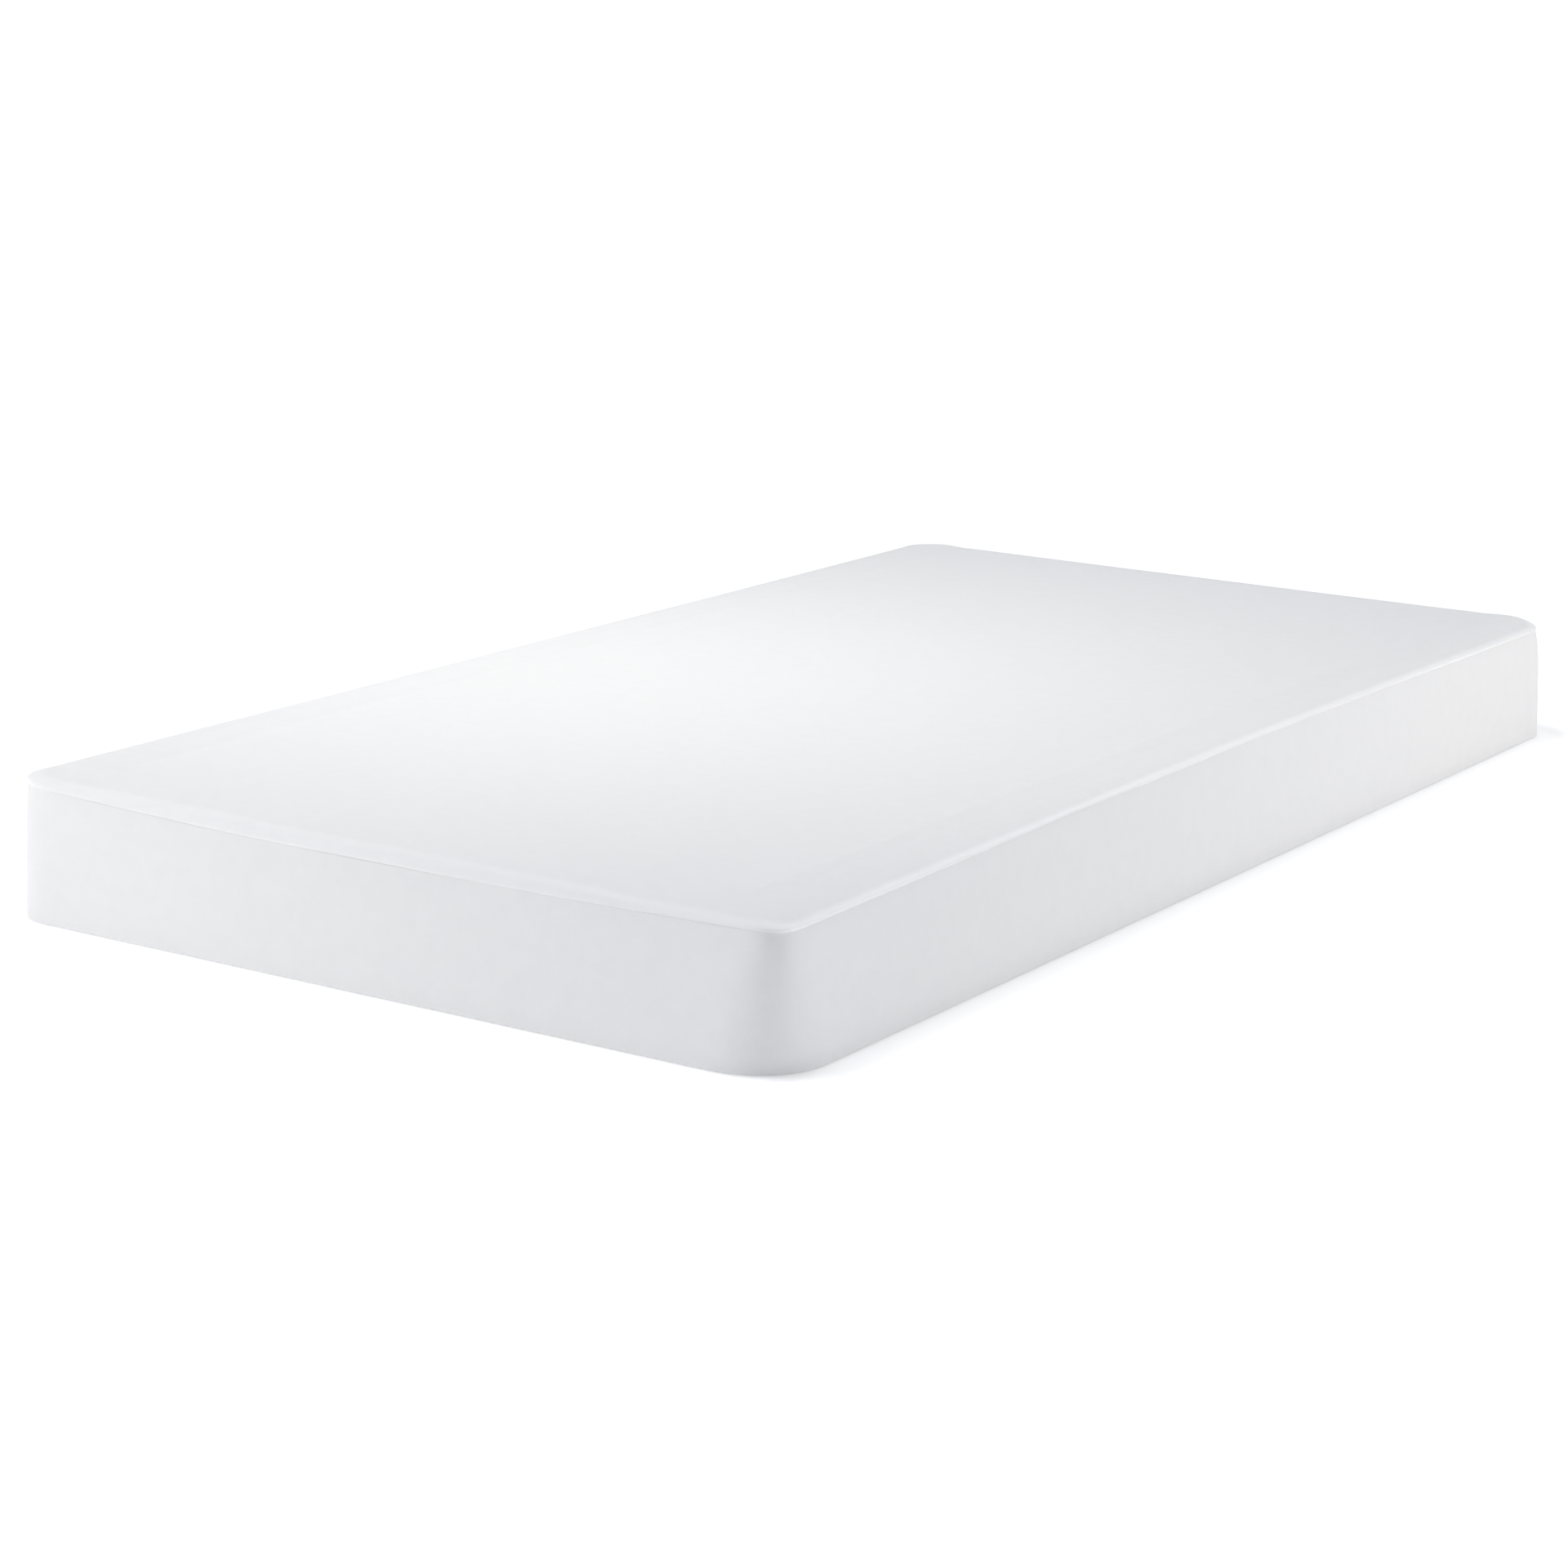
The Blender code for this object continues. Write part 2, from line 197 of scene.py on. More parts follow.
def ring(inset, radii):
    """One closed ring's points and outward directions."""
    return chained([side_row(side, count, inset, radii)
                    for side, count in enumerate((COLUMNS_X, COLUMNS_Y) * 2)])


def open_ring(inset, radii):
    """A ring that starts and ends where the head end's strips are let into the border."""
    stop, start = (radius * (math.pi / 4 - 1) + side_half(HEAD, inset) - STRIP_HALF for radius in radii[2:])
    head = side_length(HEAD, inset, radii)
    parts = [side_points(HEAD, inset, radii, np.linspace(head - start, head, STUB_COLUMNS, endpoint=False))]
    parts += [side_row(side, count, inset, radii)
              for side, count in ((LEFT, COLUMNS_Y), (FOOT, COLUMNS_X), (RIGHT, COLUMNS_Y))]
    parts.append(side_points(HEAD, inset, radii, np.linspace(0, stop, STUB_COLUMNS + 1)))
    return chained(parts)


def cover_radii(height):
    """The cover's corner radii at a height."""
    share = min(max(height / SEAM_Z, 0), 1)
    return BOTTOM_RADII * (1 - share) + TOP_RADII * share


def core_ring(wall_inset, inset, height):
    """A flat ring of an inner piece whose upright wall lies at wall_inset."""
    radii = np.maximum(cover_radii(height) - wall_inset, SMALLEST_RADIUS)
    radii = radii * (SQUARE_INSET - inset) / (SQUARE_INSET - wall_inset)
    points, outwards = ring(inset, radii)
    return np.column_stack((points, np.full(len(points), height))), outwards


def side_shares(outwards):
    """How much each point belongs to each of the four sides, which is shared in the corners."""
    return np.clip(outwards @ OUTWARD.T, 0, None) ** 2


def by_side(outwards, foot, right, head, left):
    """A value that is given for each side, shared in the corners."""
    values = [np.broadcast_to(value, len(outwards)) for value in (foot, right, head, left)]
    return (side_shares(outwards) * np.stack(values, axis=1)).sum(axis=1)


def seam_heights(points, outwards):
    """The height of the top seam: it dips along the foot and rises along the long sides."""
    x, y = points.T
    foot = FOOT_SEAM_Z + (0.0070 - 0.0044 * x) * (np.abs(x) / 0.45) ** 2.2
    right = RIGHT_SEAM_Z - 0.0076 * (np.abs(y - 0.1) / 0.95) ** 1.5
    return by_side(outwards, foot, right, HEAD_SEAM_Z, LEFT_SEAM_Z)


def roll_heights(points, outwards):
    """How far the top panel's rolled edge rises above the seam."""
    near = np.clip((points[:, 0] - 0.05) / 0.44, 0, 1)
    foot = 0.0155 - 0.0085 * near * near * (3 - 2 * near)
    roll = by_side(outwards, foot, 0.0036, 0.0128, 0.0058)
    return np.minimum(roll, CROWN_Z + 0.0003 - seam_heights(points, outwards))


def end_share(outwards):
    """1 at the ends and the left side, whose seam lies flush, and 0 at the right, whose seam leans in."""
    return 1 - side_shares(outwards)[:, RIGHT]


def foot_groove(points, outwards, inset):
    """The shallow groove just inside the foot's roll, which wanders and fades along the seam."""
    x = points[:, 0]
    wander = 0.0035 * np.sin(x * 2 * math.pi / 0.29 + 0.6) + 0.0015 * np.sin(x * 2 * math.pi / 0.11)
    depth = 0.0011 + 0.0004 * np.sin(x * 2 * math.pi / 0.23)
    depth = depth * side_shares(outwards)[:, FOOT] * np.clip((0.46 - x) / 0.2, 0.15, 1)
    return depth * np.exp(-(((inset - 0.0255 - wander) / 0.0055) ** 2))


def top_ring(end_inset, side_inset, roll_share, crown_share):
    """A ring of the top panel's outer face, and its outward directions."""
    points, outwards = ring(side_inset, TOP_RADII * (1 - max(side_inset, 0) / SQUARE_INSET))
    push = end_share(outwards) * (end_inset - side_inset)
    points = points - outwards * push[:, None]
    seam = seam_heights(points, outwards)
    roll = roll_heights(points, outwards)
    heights = seam + roll * roll_share + (CROWN_Z - seam - roll) * crown_share
    heights = heights - foot_groove(points, outwards, side_inset + push)
    return np.column_stack((points, heights)), outwards


def nested_ring(wall_inset, inset, depth):
    """A ring of an inner piece's top, which follows the top panel's outer face at this depth."""
    insets = np.array(PANEL_ROWS)[:, :2]
    shares = np.array(PANEL_ROWS)[:, 2:]
    points, outwards = core_ring(wall_inset, inset, SEAM_Z)
    points = points[:, :2]
    ends = end_share(outwards)
    seam = seam_heights(points, outwards)
    roll = roll_heights(points, outwards)
    heights = seam.copy()
    for share, rise in zip(shares.T, (roll, CROWN_Z - seam - roll)):
        at_ends = np.interp(inset, insets[3:, 0], share[3:])
        at_sides = np.interp(inset, insets[3:, 1], share[3:])
        heights += rise * (ends * at_ends + (1 - ends) * at_sides)
    return np.column_stack((points, heights - depth))


def raised_row(points, outwards, insets, height, follow):
    """A ring's points, leant in from the right side's inset to the other sides' one, and raised.

    Their height follows the top seam's rises and dips by this share.
    """
    end_inset, side_inset = insets
    points = points - outwards * (end_share(outwards) * (end_inset - side_inset))[:, None]
    heights = height + follow * (seam_heights(points, outwards) - SEAM_Z)
    return np.column_stack((points, heights))


# ---------------------------------------------------------------- meshes from rings

def cap_grid(edge):
    """A grid of indices over a square-cornered ring, and the points inside it, which come next."""
    count = len(edge)
    grid = np.zeros((COLUMNS_X + 1, COLUMNS_Y + 1), int)
    grid[:, 0] = np.arange(COLUMNS_X + 1)
    grid[COLUMNS_X, :] = COLUMNS_X + np.arange(COLUMNS_Y + 1)
    grid[::-1, COLUMNS_Y] = COLUMNS_X + COLUMNS_Y + np.arange(COLUMNS_X + 1)
    grid[0, ::-1] = (2 * COLUMNS_X + COLUMNS_Y + np.arange(COLUMNS_Y + 1)) % count
    inner = np.arange((COLUMNS_X - 1) * (COLUMNS_Y - 1)).reshape(COLUMNS_X - 1, COLUMNS_Y - 1)
    grid[1:-1, 1:-1] = count + inner
    x, y = np.meshgrid(edge[grid[1:-1, 0], 0], edge[grid[COLUMNS_X, 1:-1], 1], indexing="ij")
    heights = np.full(x.size, edge[:, 2].mean())
    return grid, np.column_stack((x.ravel(), y.ravel(), heights))


def grid_faces(grid):
    """The quads of a grid of indices, facing along its first direction turned into its second."""
    corners = (grid[:-1, :-1], grid[1:, :-1], grid[1:, 1:], grid[:-1, 1:])
    return np.stack(corners, axis=-1).reshape(-1, 4)


def row_faces(row_count, column_count, closed):
    """The quads between rows of points, joined round at the ends when closed."""
    indices = np.arange(row_count * column_count).reshape(row_count, column_count)
    if closed:
        indices = np.column_stack((indices, indices[:, 0]))
    return grid_faces(indices.T)


def link_mesh(name, mesh):
    """A smooth object of a mesh, in the scene."""
    mesh.shade_smooth()
    obj = bpy.data.objects.new(name, mesh)
    bpy.context.scene.collection.objects.link(obj)
    return obj


def mesh_object(name, points, faces, weave=None):
    """An object of points and faces. Weave is the place of each point on the flat cloth, in metres."""
    mesh = bpy.data.meshes.new(name)
    mesh.from_pydata(np.asarray(points).tolist(), [], [[int(index) for index in face] for face in faces])
    if weave is not None:
        attribute = mesh.attributes.new("weave", "FLOAT_VECTOR", "POINT")
        flat = np.column_stack((weave, np.zeros(len(weave))))
        attribute.data.foreach_set("vector", flat.astype(np.float32).ravel())
    return link_mesh(name, mesh)


def sheet_object(name, rows, weaves, closed=False):
    """A sheet from rows of points, with each row's places on the flat cloth."""
    faces = row_faces(len(rows), len(rows[0]), closed)
    return mesh_object(name, np.concatenate(rows), faces, np.concatenate(weaves))


def band_object(name, rows, guide, closed):
    """A sheet round the mattress, laid flat as the way along its guide row and the height."""
    along = np.concatenate(([0], np.cumsum(np.linalg.norm(np.diff(guide, axis=0), axis=1))))
    return sheet_object(name, rows, [np.column_stack((along, row[:, 2])) for row in rows], closed)


def mesh_points(mesh):
    """A mesh's points as an array."""
    points = np.zeros(len(mesh.vertices) * 3, np.float32)
    mesh.vertices.foreach_get("co", points)
    return points.reshape(-1, 3).astype(float)


def set_mesh_points(mesh, points):
    """Moves a mesh's points."""
    mesh.vertices.foreach_set("co", points.astype(np.float32).ravel())
    mesh.update()


def apply_modifiers(obj):
    """Makes what the modifiers show the object's own mesh."""
    evaluated = obj.evaluated_get(bpy.context.evaluated_depsgraph_get())
    mesh = bpy.data.meshes.new_from_object(evaluated)
    obj.modifiers.clear()
    obj.data = mesh


def subdivide(obj):
    """One Catmull-Clark step, applied."""
    step = obj.modifiers.new("Smooth", "SUBSURF")
    step.levels = 1
    step.render_levels = 1
    apply_modifiers(obj)


def thicken(obj, thickness):
    """Gives a sheet its thickness, inwards from its outer face, applied."""
    wall = obj.modifiers.new("Thickness", "SOLIDIFY")
    wall.thickness = thickness
    wall.offset = -1
    apply_modifiers(obj)


def crumple(obj, waves):
    """Moves points along their normals by soft noise. Each wave is a wavelength and an amplitude."""
    points = mesh_points(obj.data)
    normals = np.array([vertex.normal for vertex in obj.data.vertices])
    lift = np.zeros(len(points))
    for index, (length, amplitude) in enumerate(waves):
        offset = Vector((3.7 * index, 1.3, 7.1))
        lift += [amplitude * noise.noise(Vector(point / length) + offset) for point in points]
    set_mesh_points(obj.data, points + normals * lift[:, None])


def inflate(obj, pinned, limit):
    """Swells a sheet by cloth simulation, held at its pinned points; no point moves past the limit."""
    pins = obj.vertex_groups.new(name="pins")
    pins.add(pinned, 1.0, "REPLACE")
    cloth = obj.modifiers.new("Swell", "CLOTH")
    cloth.settings.vertex_group_mass = "pins"
    cloth.settings.use_pressure = True
    cloth.settings.uniform_pressure_force = SWELL_PRESSURE
    cloth.settings.effector_weights.gravity = 0.0
    cloth.collision_settings.use_collision = False
    scene = bpy.context.scene
    for step in range(1, SWELL_FRAMES + 1):
        scene.frame_set(step)
    swollen = obj.evaluated_get(bpy.context.evaluated_depsgraph_get()).to_mesh()
    start = mesh_points(obj.data)
    moves = mesh_points(swollen) - start
    obj.modifiers.clear()
    obj.vertex_groups.clear()
    lengths = np.maximum(np.linalg.norm(moves, axis=1), 1e-9)
    moves *= (limit * np.tanh(lengths / limit) / lengths)[:, None]
    set_mesh_points(obj.data, start + moves)
    scene.frame_set(1)


def capped(rings, under, over):
    """The points and faces of rings, closed with a grid under the first, over the last or both."""
    column_count = len(rings[0])
    points = list(rings)
    faces = [row_faces(len(rings), column_count, True)]
    if under:
        grid, inside = cap_grid(rings[0])
        inner = (len(rings) - 1) * column_count
        faces.insert(0, grid_faces(np.where(grid >= column_count, grid + inner, grid))[:, ::-1])
        points.append(inside)
    if over:
        grid, inside = cap_grid(rings[-1])
        inner = sum(len(part) for part in points) - column_count
        edge = (len(rings) - 1) * column_count
        faces.append(grid_faces(grid + np.where(grid >= column_count, inner, edge)))
        points.append(inside)
    return np.concatenate(points), np.concatenate(faces)


def closed_cushion(name, rings):
    """A closed form from rings that start and end at square-cornered ones."""
    points, faces = capped(rings, True, True)
    return mesh_object(name, points, faces, points[:, :2])


# ---------------------------------------------------------------- the cover

def make_cover_top():
    """The knit top, from the seam over its roll to the crown."""
    rings, directions = zip(*[top_ring(*row) for row in PANEL_ROWS])
    flats = [rings[-1][:, :2]]
    drop = np.zeros(len(rings[-1]))
    for row in range(len(rings) - 2, -1, -1):
        step = rings[row] - rings[row + 1]
        drop = drop + np.linalg.norm(step, axis=1) - np.linalg.norm(step[:, :2], axis=1)
        flats.insert(0, rings[row][:, :2] + directions[row] * drop[:, None])
    points, faces = capped(rings, False, True)
    column_count = len(rings[0])
    weave = np.concatenate(flats + [points[len(rings) * column_count:, :2]])
    top = mesh_object("cover_top", points, faces, weave)
    # A painted highlight along the seam, strongest on the right side, kept on the points.
    highlight_by_side = by_side(directions[0], *SEAM_HIGHLIGHT_SIDES)
    painted_highlight = np.concatenate([highlight_by_side * share for share in SEAM_HIGHLIGHT_ROWS]
                             + [np.zeros(len(points) - len(SEAM_HIGHLIGHT_ROWS) * column_count)])
    attribute = top.data.attributes.new("painted_highlight", "FLOAT", "POINT")
    attribute.data.foreach_set("value", painted_highlight.astype(np.float32))
    inflate(top, list(range(3 * column_count)), TOP_SWELL)
    return top


def border_rows():
    """All rows of the border, from its lower edge up."""
    low = BORDER_LOW_ROWS[-1][2]
    high = SEAM_Z - BORDER_HIGH_ROWS[0][2]
    rows = [(end, side, height, 0.0) for end, side, height in BORDER_LOW_ROWS]
    for step in range(1, BORDER_MIDDLE_ROWS + 1):
        share = step / (BORDER_MIDDLE_ROWS + 1)
        bulge = -BORDER_BULGE * math.sin(math.pi * share)
        rows.append((bulge, bulge, low + (high - low) * share, share))
    rows += [(end, side, SEAM_Z - depth, 1.0) for end, side, depth in BORDER_HIGH_ROWS]
    return [raised_row(*open_ring(side, cover_radii(height)), (end, side), height, follow)
            for end, side, height, follow in rows]


def make_cover_border():
    """The knit border round the foot end and both long sides, with its stubs at the head end."""
    rows = border_rows()
    border = band_object("cover_border", rows, rows[len(rows) // 2], False)
    grid = np.arange(len(rows) * len(rows[0])).reshape(len(rows), -1)
    low, high = len(BORDER_LOW_ROWS), len(rows) - len(BORDER_HIGH_ROWS) + 2
    pinned = np.concatenate((grid[:low].ravel(), grid[high:].ravel(),
                             grid[low:high, :2].ravel(), grid[low:high, -2:].ravel()))
    inflate(border, pinned.tolist(), BORDER_SWELL)
    return border


def make_cover_base():
    """The grip fabric of the underside, its edge turned up into the lower seam."""
    rings = []
    for inset, height in BASE_ROWS:
        points, _ = ring(inset, BOTTOM_RADII * (1 - inset / SQUARE_INSET))
        rings.append(np.column_stack((points, np.full(len(points), height))))
    points, faces = capped(rings, True, False)
    return mesh_object("cover_base", points, faces, points[:, :2])


# ---------------------------------------------------------------- the core

SOCK_INSET = HALF_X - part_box("fire_sock")[1].x
CORE_INSET = HALF_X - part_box("memory_foam")[1].x
PAD_DEPTH = KNIT_THICKNESS + 0.0005
PAD_THICKNESS = 0.0091
SOCK_DEPTH = PAD_DEPTH + PAD_THICKNESS + GAP
MEMORY_DEPTH = SOCK_DEPTH + SOCK_THICKNESS + GAP
FOAM_ROUNDING = 0.0025
SHOULDER_INSETS = (0.0105, 0.0140, 0.0200, 0.0300, 0.0440, 0.0640, SQUARE_INSET)


def foam_rings(low, high):
    """The rings of a cut foam layer between two heights, its cut edges just broken."""
    soft = FOAM_ROUNDING
    profile = ((SQUARE_INSET, low), (0.040, low), (CORE_INSET + soft, low),
               (CORE_INSET + 0.3 * soft, low + 0.3 * soft), (CORE_INSET, low + soft),
               (CORE_INSET, (low + high) / 2),
               (CORE_INSET, high - soft), (CORE_INSET + 0.3 * soft, high - 0.3 * soft),
               (CORE_INSET + soft, high), (0.040, high), (SQUARE_INSET, high))
    return [core_ring(CORE_INSET, inset, height)[0] for inset, height in profile]


def make_foam(name):
    """A flat foam layer, in its CAD solid's place."""
    low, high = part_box(name)
    return closed_cushion(name + "_layer", foam_rings(low.z, high.z))


def make_memory_foam():
    """The comfort layer, whose upper edges are rounded off under the cover's roll."""
    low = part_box("memory_foam")[0].z
    rings = foam_rings(low, low + 0.012)[:6]
    rings += [nested_ring(CORE_INSET, inset, MEMORY_DEPTH + drop)
              for inset, drop in ((CORE_INSET, 0.0075), (CORE_INSET + 0.0006, 0.0038))]
    rings += [nested_ring(CORE_INSET, inset, MEMORY_DEPTH) for inset in SHOULDER_INSETS[1:]]
    return closed_cushion("memory_foam_layer", rings)


def make_wadding():
    """The fibre wadding between the sock and the top panel, thinning towards its edge."""
    under = [nested_ring(CORE_INSET, inset, PAD_DEPTH + PAD_THICKNESS) for inset in SHOULDER_INSETS[::-1]]
    edge = [nested_ring(CORE_INSET, CORE_INSET, PAD_DEPTH + depth) for depth in (0.0075, 0.0030)]
    over = [nested_ring(CORE_INSET, inset, PAD_DEPTH) for inset in SHOULDER_INSETS]
    return closed_cushion("wadding_layer", under + edge + over)


def make_sock():
    """The fire sock, a knit tube round the foam that is open at the head end."""
    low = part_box("fire_sock")[0].z
    flat = ((SQUARE_INSET, low), (0.040, low), (SOCK_INSET + 0.006, low), (SOCK_INSET + 0.0012, low + 0.001),
            (SOCK_INSET, low + 0.005), (SOCK_INSET, 0.040), (SOCK_INSET, 0.080), (SOCK_INSET, 0.118))
    rings = [core_ring(SOCK_INSET, inset, height)[0] for inset, height in flat]
    rings += [nested_ring(SOCK_INSET, inset, SOCK_DEPTH + drop)
              for inset, drop in ((SOCK_INSET, 0.0085), (SOCK_INSET + 0.0005, 0.0045))]
    rings += [nested_ring(SOCK_INSET, inset, SOCK_DEPTH) for inset in SHOULDER_INSETS[1:]]
    sock = closed_cushion("sock_knit_tube", rings)
    form = bmesh.new()
    form.from_mesh(sock.data)
    head = [face for face in form.faces
            if face.normal.y > 0.8 and face.calc_center_median().y > HALF_Y - SOCK_INSET - 0.004]
    bmesh.ops.delete(form, geom=head, context="FACES")
    form.to_mesh(sock.data)
    form.free()
    thicken(sock, SOCK_THICKNESS)
    return sock


# ---------------------------------------------------------------- the seam tapes

TAPE_THICKNESS = 0.0004


def make_seam_tape(name, insets, heights, follow):
    """A tape behind a seam, with its insets at the ends and at the right, and its rows' heights."""
    rings = []
    for height in heights:
        radii = np.maximum(cover_radii(height) - insets[1], SMALLEST_RADIUS)
        rings.append(raised_row(*ring(insets[1], radii), insets, height, follow))
    tape = band_object(name, rings, rings[0], True)
    thicken(tape, TAPE_THICKNESS)
    return tape


def make_top_tape():
    """The tape that the top panel and border are sewn to."""
    heights = [SEAM_Z + offset for offset in (-0.0090, -0.0055, -0.0020, 0.0013)]
    return make_seam_tape("seam_tape_top", (0.0050, 0.0070), heights, 1.0)


def make_bottom_tape():
    """The tape that the border and underside are sewn to."""
    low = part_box("bottom_seam_tape")[0].z + 0.0006
    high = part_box("bottom_seam_tape")[1].z
    return make_seam_tape("seam_tape_bottom", (0.0053, 0.0053), np.linspace(low, high, 4), 0.0)


# ---------------------------------------------------------------- small parts from drawn shapes

SHARP_ANGLE = math.radians(35)
STITCH_LENGTH = 0.0030
STITCH_PITCH = 0.0036
STITCH_RADIUS = 0.00022
STITCH_SIDES = 6
STITCH_END_SHARE = 0.35
# The bends of one stitch, as shares of its length.
STITCH_SHARES = np.array((0.0, 0.12, 0.5, 0.88, 1.0))


def rounded_outline(half_x, half_y, radius, steps=5):
    """A rounded rectangle round the origin, as points."""
    points = []
    for quarter, (side_x, side_y) in enumerate(((1, 1), (-1, 1), (-1, -1), (1, -1))):
        for step in range(steps + 1):
            angle = math.pi / 2 * (quarter + step / steps)
            points.append((side_x * (half_x - radius) + radius * math.cos(angle),
                           side_y * (half_y - radius) + radius * math.sin(angle)))
    return points


def plate(outlines, thickness, edge, matrix):
    """A mesh of the first outline with the others cut out, its edges rounded by this much."""
    curve = bpy.data.curves.new("plate", "CURVE")
    curve.dimensions = "2D"
    curve.fill_mode = "BOTH"
    curve.extrude = thickness / 2 - edge
    curve.bevel_depth = edge
    curve.bevel_resolution = 2
    curve.offset = -edge
    for outline in outlines:
        spline = curve.splines.new("POLY")
        spline.points.add(len(outline) - 1)
        spline.use_cyclic_u = True
        for point, (x, y) in zip(spline.points, outline):
            point.co = (x, y, 0, 1)
    obj = bpy.data.objects.new("plate", curve)
    bpy.context.scene.collection.objects.link(obj)
    bpy.context.view_layer.update()
    mesh = bpy.data.meshes.new_from_object(obj.evaluated_get(bpy.context.evaluated_depsgraph_get()))
    bpy.data.objects.remove(obj)
    mesh.transform(matrix)
    return mesh


def joined(name, meshes):
    """One object of several meshes, welded within each, with its clear edges kept sharp."""
    form = bmesh.new()
    for mesh in meshes:
        form.from_mesh(mesh)
    bmesh.ops.remove_doubles(form, verts=form.verts, dist=1e-6)
    mesh = bpy.data.meshes.new(name)
    form.to_mesh(mesh)
    form.free()
    obj = link_mesh(name, mesh)
    mesh.set_sharp_from_angle(angle=SHARP_ANGLE)
    return obj


def tube_arrays(path, radius, sides, reference, first_turn=0.0, end_share=1.0):
    """The points and faces of a capped tube along a path that never runs along the reference.

    The first of its sides lies at first_turn round it, and its ends shrink to end_share.
    """
    tangents = np.gradient(path, axis=0)
    tangents /= np.linalg.norm(tangents, axis=1)[:, None]
    across = np.cross(tangents, reference)
    across /= np.linalg.norm(across, axis=1)[:, None]
    upward = np.cross(across, tangents)
    angles = first_turn + np.arange(sides) * 2 * math.pi / sides
    rings = (across[:, None, :] * np.cos(angles)[None, :, None]
             + upward[:, None, :] * np.sin(angles)[None, :, None]) * radius
    rings[[0, -1]] *= end_share
    points = (path[:, None, :] + rings).reshape(-1, 3)
    indices = np.arange(len(points)).reshape(len(path), sides)
    faces = list(grid_faces(np.column_stack((indices, indices[:, 0]))))
    return points, faces + [indices[0], indices[-1][::-1]]


def stitches_object(name, paths):
    """One object of many stitches, each a short tube."""
    points, faces = [], []
    for index, path in enumerate(paths):
        tube_points, tube_faces = tube_arrays(path, STITCH_RADIUS, STITCH_SIDES, (0.0, 1.0, 0.0),
                                              end_share=STITCH_END_SHARE)
        points.append(tube_points)
        faces += [face + index * len(tube_points) for face in tube_faces]
    return mesh_object(name, np.concatenate(points), faces)


def stitch_row(first_x, count, surface, height, proud):
    """The paths of a row of stitches along X. Surface gives the cloth's Y, and proud the thread's."""
    paths = []
    for index in range(count):
        x = first_x + index * STITCH_PITCH + STITCH_SHARES * STITCH_LENGTH
        paths.append(np.column_stack((x, surface(x) + proud, np.full(len(x), height))))
    return paths


# ---------------------------------------------------------------- the head end's strips

STRIP_THICKNESS = 0.0009
STRIP_STEP = 0.009
SLIT_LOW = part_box("head_border_lower")[1].z
SLIT_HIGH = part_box("head_border_upper")[0].z
ZIP_Z = (SLIT_LOW + SLIT_HIGH) / 2
HEM_WIDTH = 0.0085
# From the hem's folded edge outwards: how far from the slit, and the inset.
HEM_ROWS = ((HEM_WIDTH, 0.0041), (0.0040, 0.0041), (0.0008, 0.0040), (0.0001, 0.0035),
            (0.0001, 0.0027), (0.0006, 0.0021), (0.0022, 0.0017), (0.0050, 0.0013),
            (HEM_WIDTH, 0.0007), (0.0130, 0.0002))
STITCH_ROWS = (0.0024, 0.0076)
HEM_STITCH_PROUD = np.array((-0.0004, 0.00026, 0.00038, 0.00026, -0.0004))
STRIP_BOW = 0.0005


def strip_bow(x):
    """How far the strips bow out of the head end at this place across."""
    return STRIP_BOW * np.cos(x / STRIP_HALF * math.pi / 2)


def strip_object(name, rows):
    """A strip of the head end from rows of a height and an inset, bottom row first."""
    x = np.linspace(STRIP_HALF, -STRIP_HALF, round(2 * STRIP_HALF / STRIP_STEP) + 1)
    travels = np.cumsum([0.0] + [math.dist(*pair) for pair in zip(rows, rows[1:])])
    points = [np.column_stack((x, HALF_Y - inset + strip_bow(x), np.full(len(x), height)))
              for height, inset in rows]
    strip = sheet_object(name, points, [np.column_stack((x, np.full(len(x), far))) for far in travels])
    subdivide(strip)
    crumple(strip, ((0.10, 0.00012), (0.03, 0.00005)))
    thicken(strip, STRIP_THICKNESS)
    return strip


def make_strip_upper():
    """The strip above the zip, hemmed at the slit and sewn into the top seam."""
    rows = [(SLIT_HIGH + away, inset) for away, inset in HEM_ROWS]
    rise = HEAD_SEAM_Z - BORDER_HIGH_ROWS[2][2] - SLIT_HIGH
    rows += [(SLIT_HIGH + rise * share, -0.0003) for share in (0.32, 0.52, 0.72)]
    rows += [(HEAD_SEAM_Z - depth, inset) for inset, _, depth in BORDER_HIGH_ROWS[1:]]
    return strip_object("head_strip_upper", rows)


def make_strip_lower():
    """The strip below the zip, hemmed at the slit and turned under at the lower seam."""
    rows = [(height, inset) for inset, _, height in BORDER_LOW_ROWS]
    rows += [(SLIT_LOW - away, inset) for away, inset in HEM_ROWS[::-1]]
    return strip_object("head_strip_lower", rows)


def hem_inset(away):
    """How far inside the border's face a hem lies, at this distance from the slit."""
    outer = HEM_ROWS[5:]
    return np.interp(away, [row[0] for row in outer], [row[1] for row in outer])


def make_topstitching():
    """The rows of stitches that hold the hems to the zip's tapes."""
    first_x = -STRIP_HALF + 0.004
    paths = []
    for edge, side in ((SLIT_HIGH, 1), (SLIT_LOW, -1)):
        for away in STITCH_ROWS:
            face_y = HALF_Y - hem_inset(away)
            paths += stitch_row(first_x, int(-2 * first_x / STITCH_PITCH), lambda x: face_y + strip_bow(x),
                                edge + side * away, HEM_STITCH_PROUD)
    return stitches_object("zip_topstitching", paths)


# ---------------------------------------------------------------- the zip

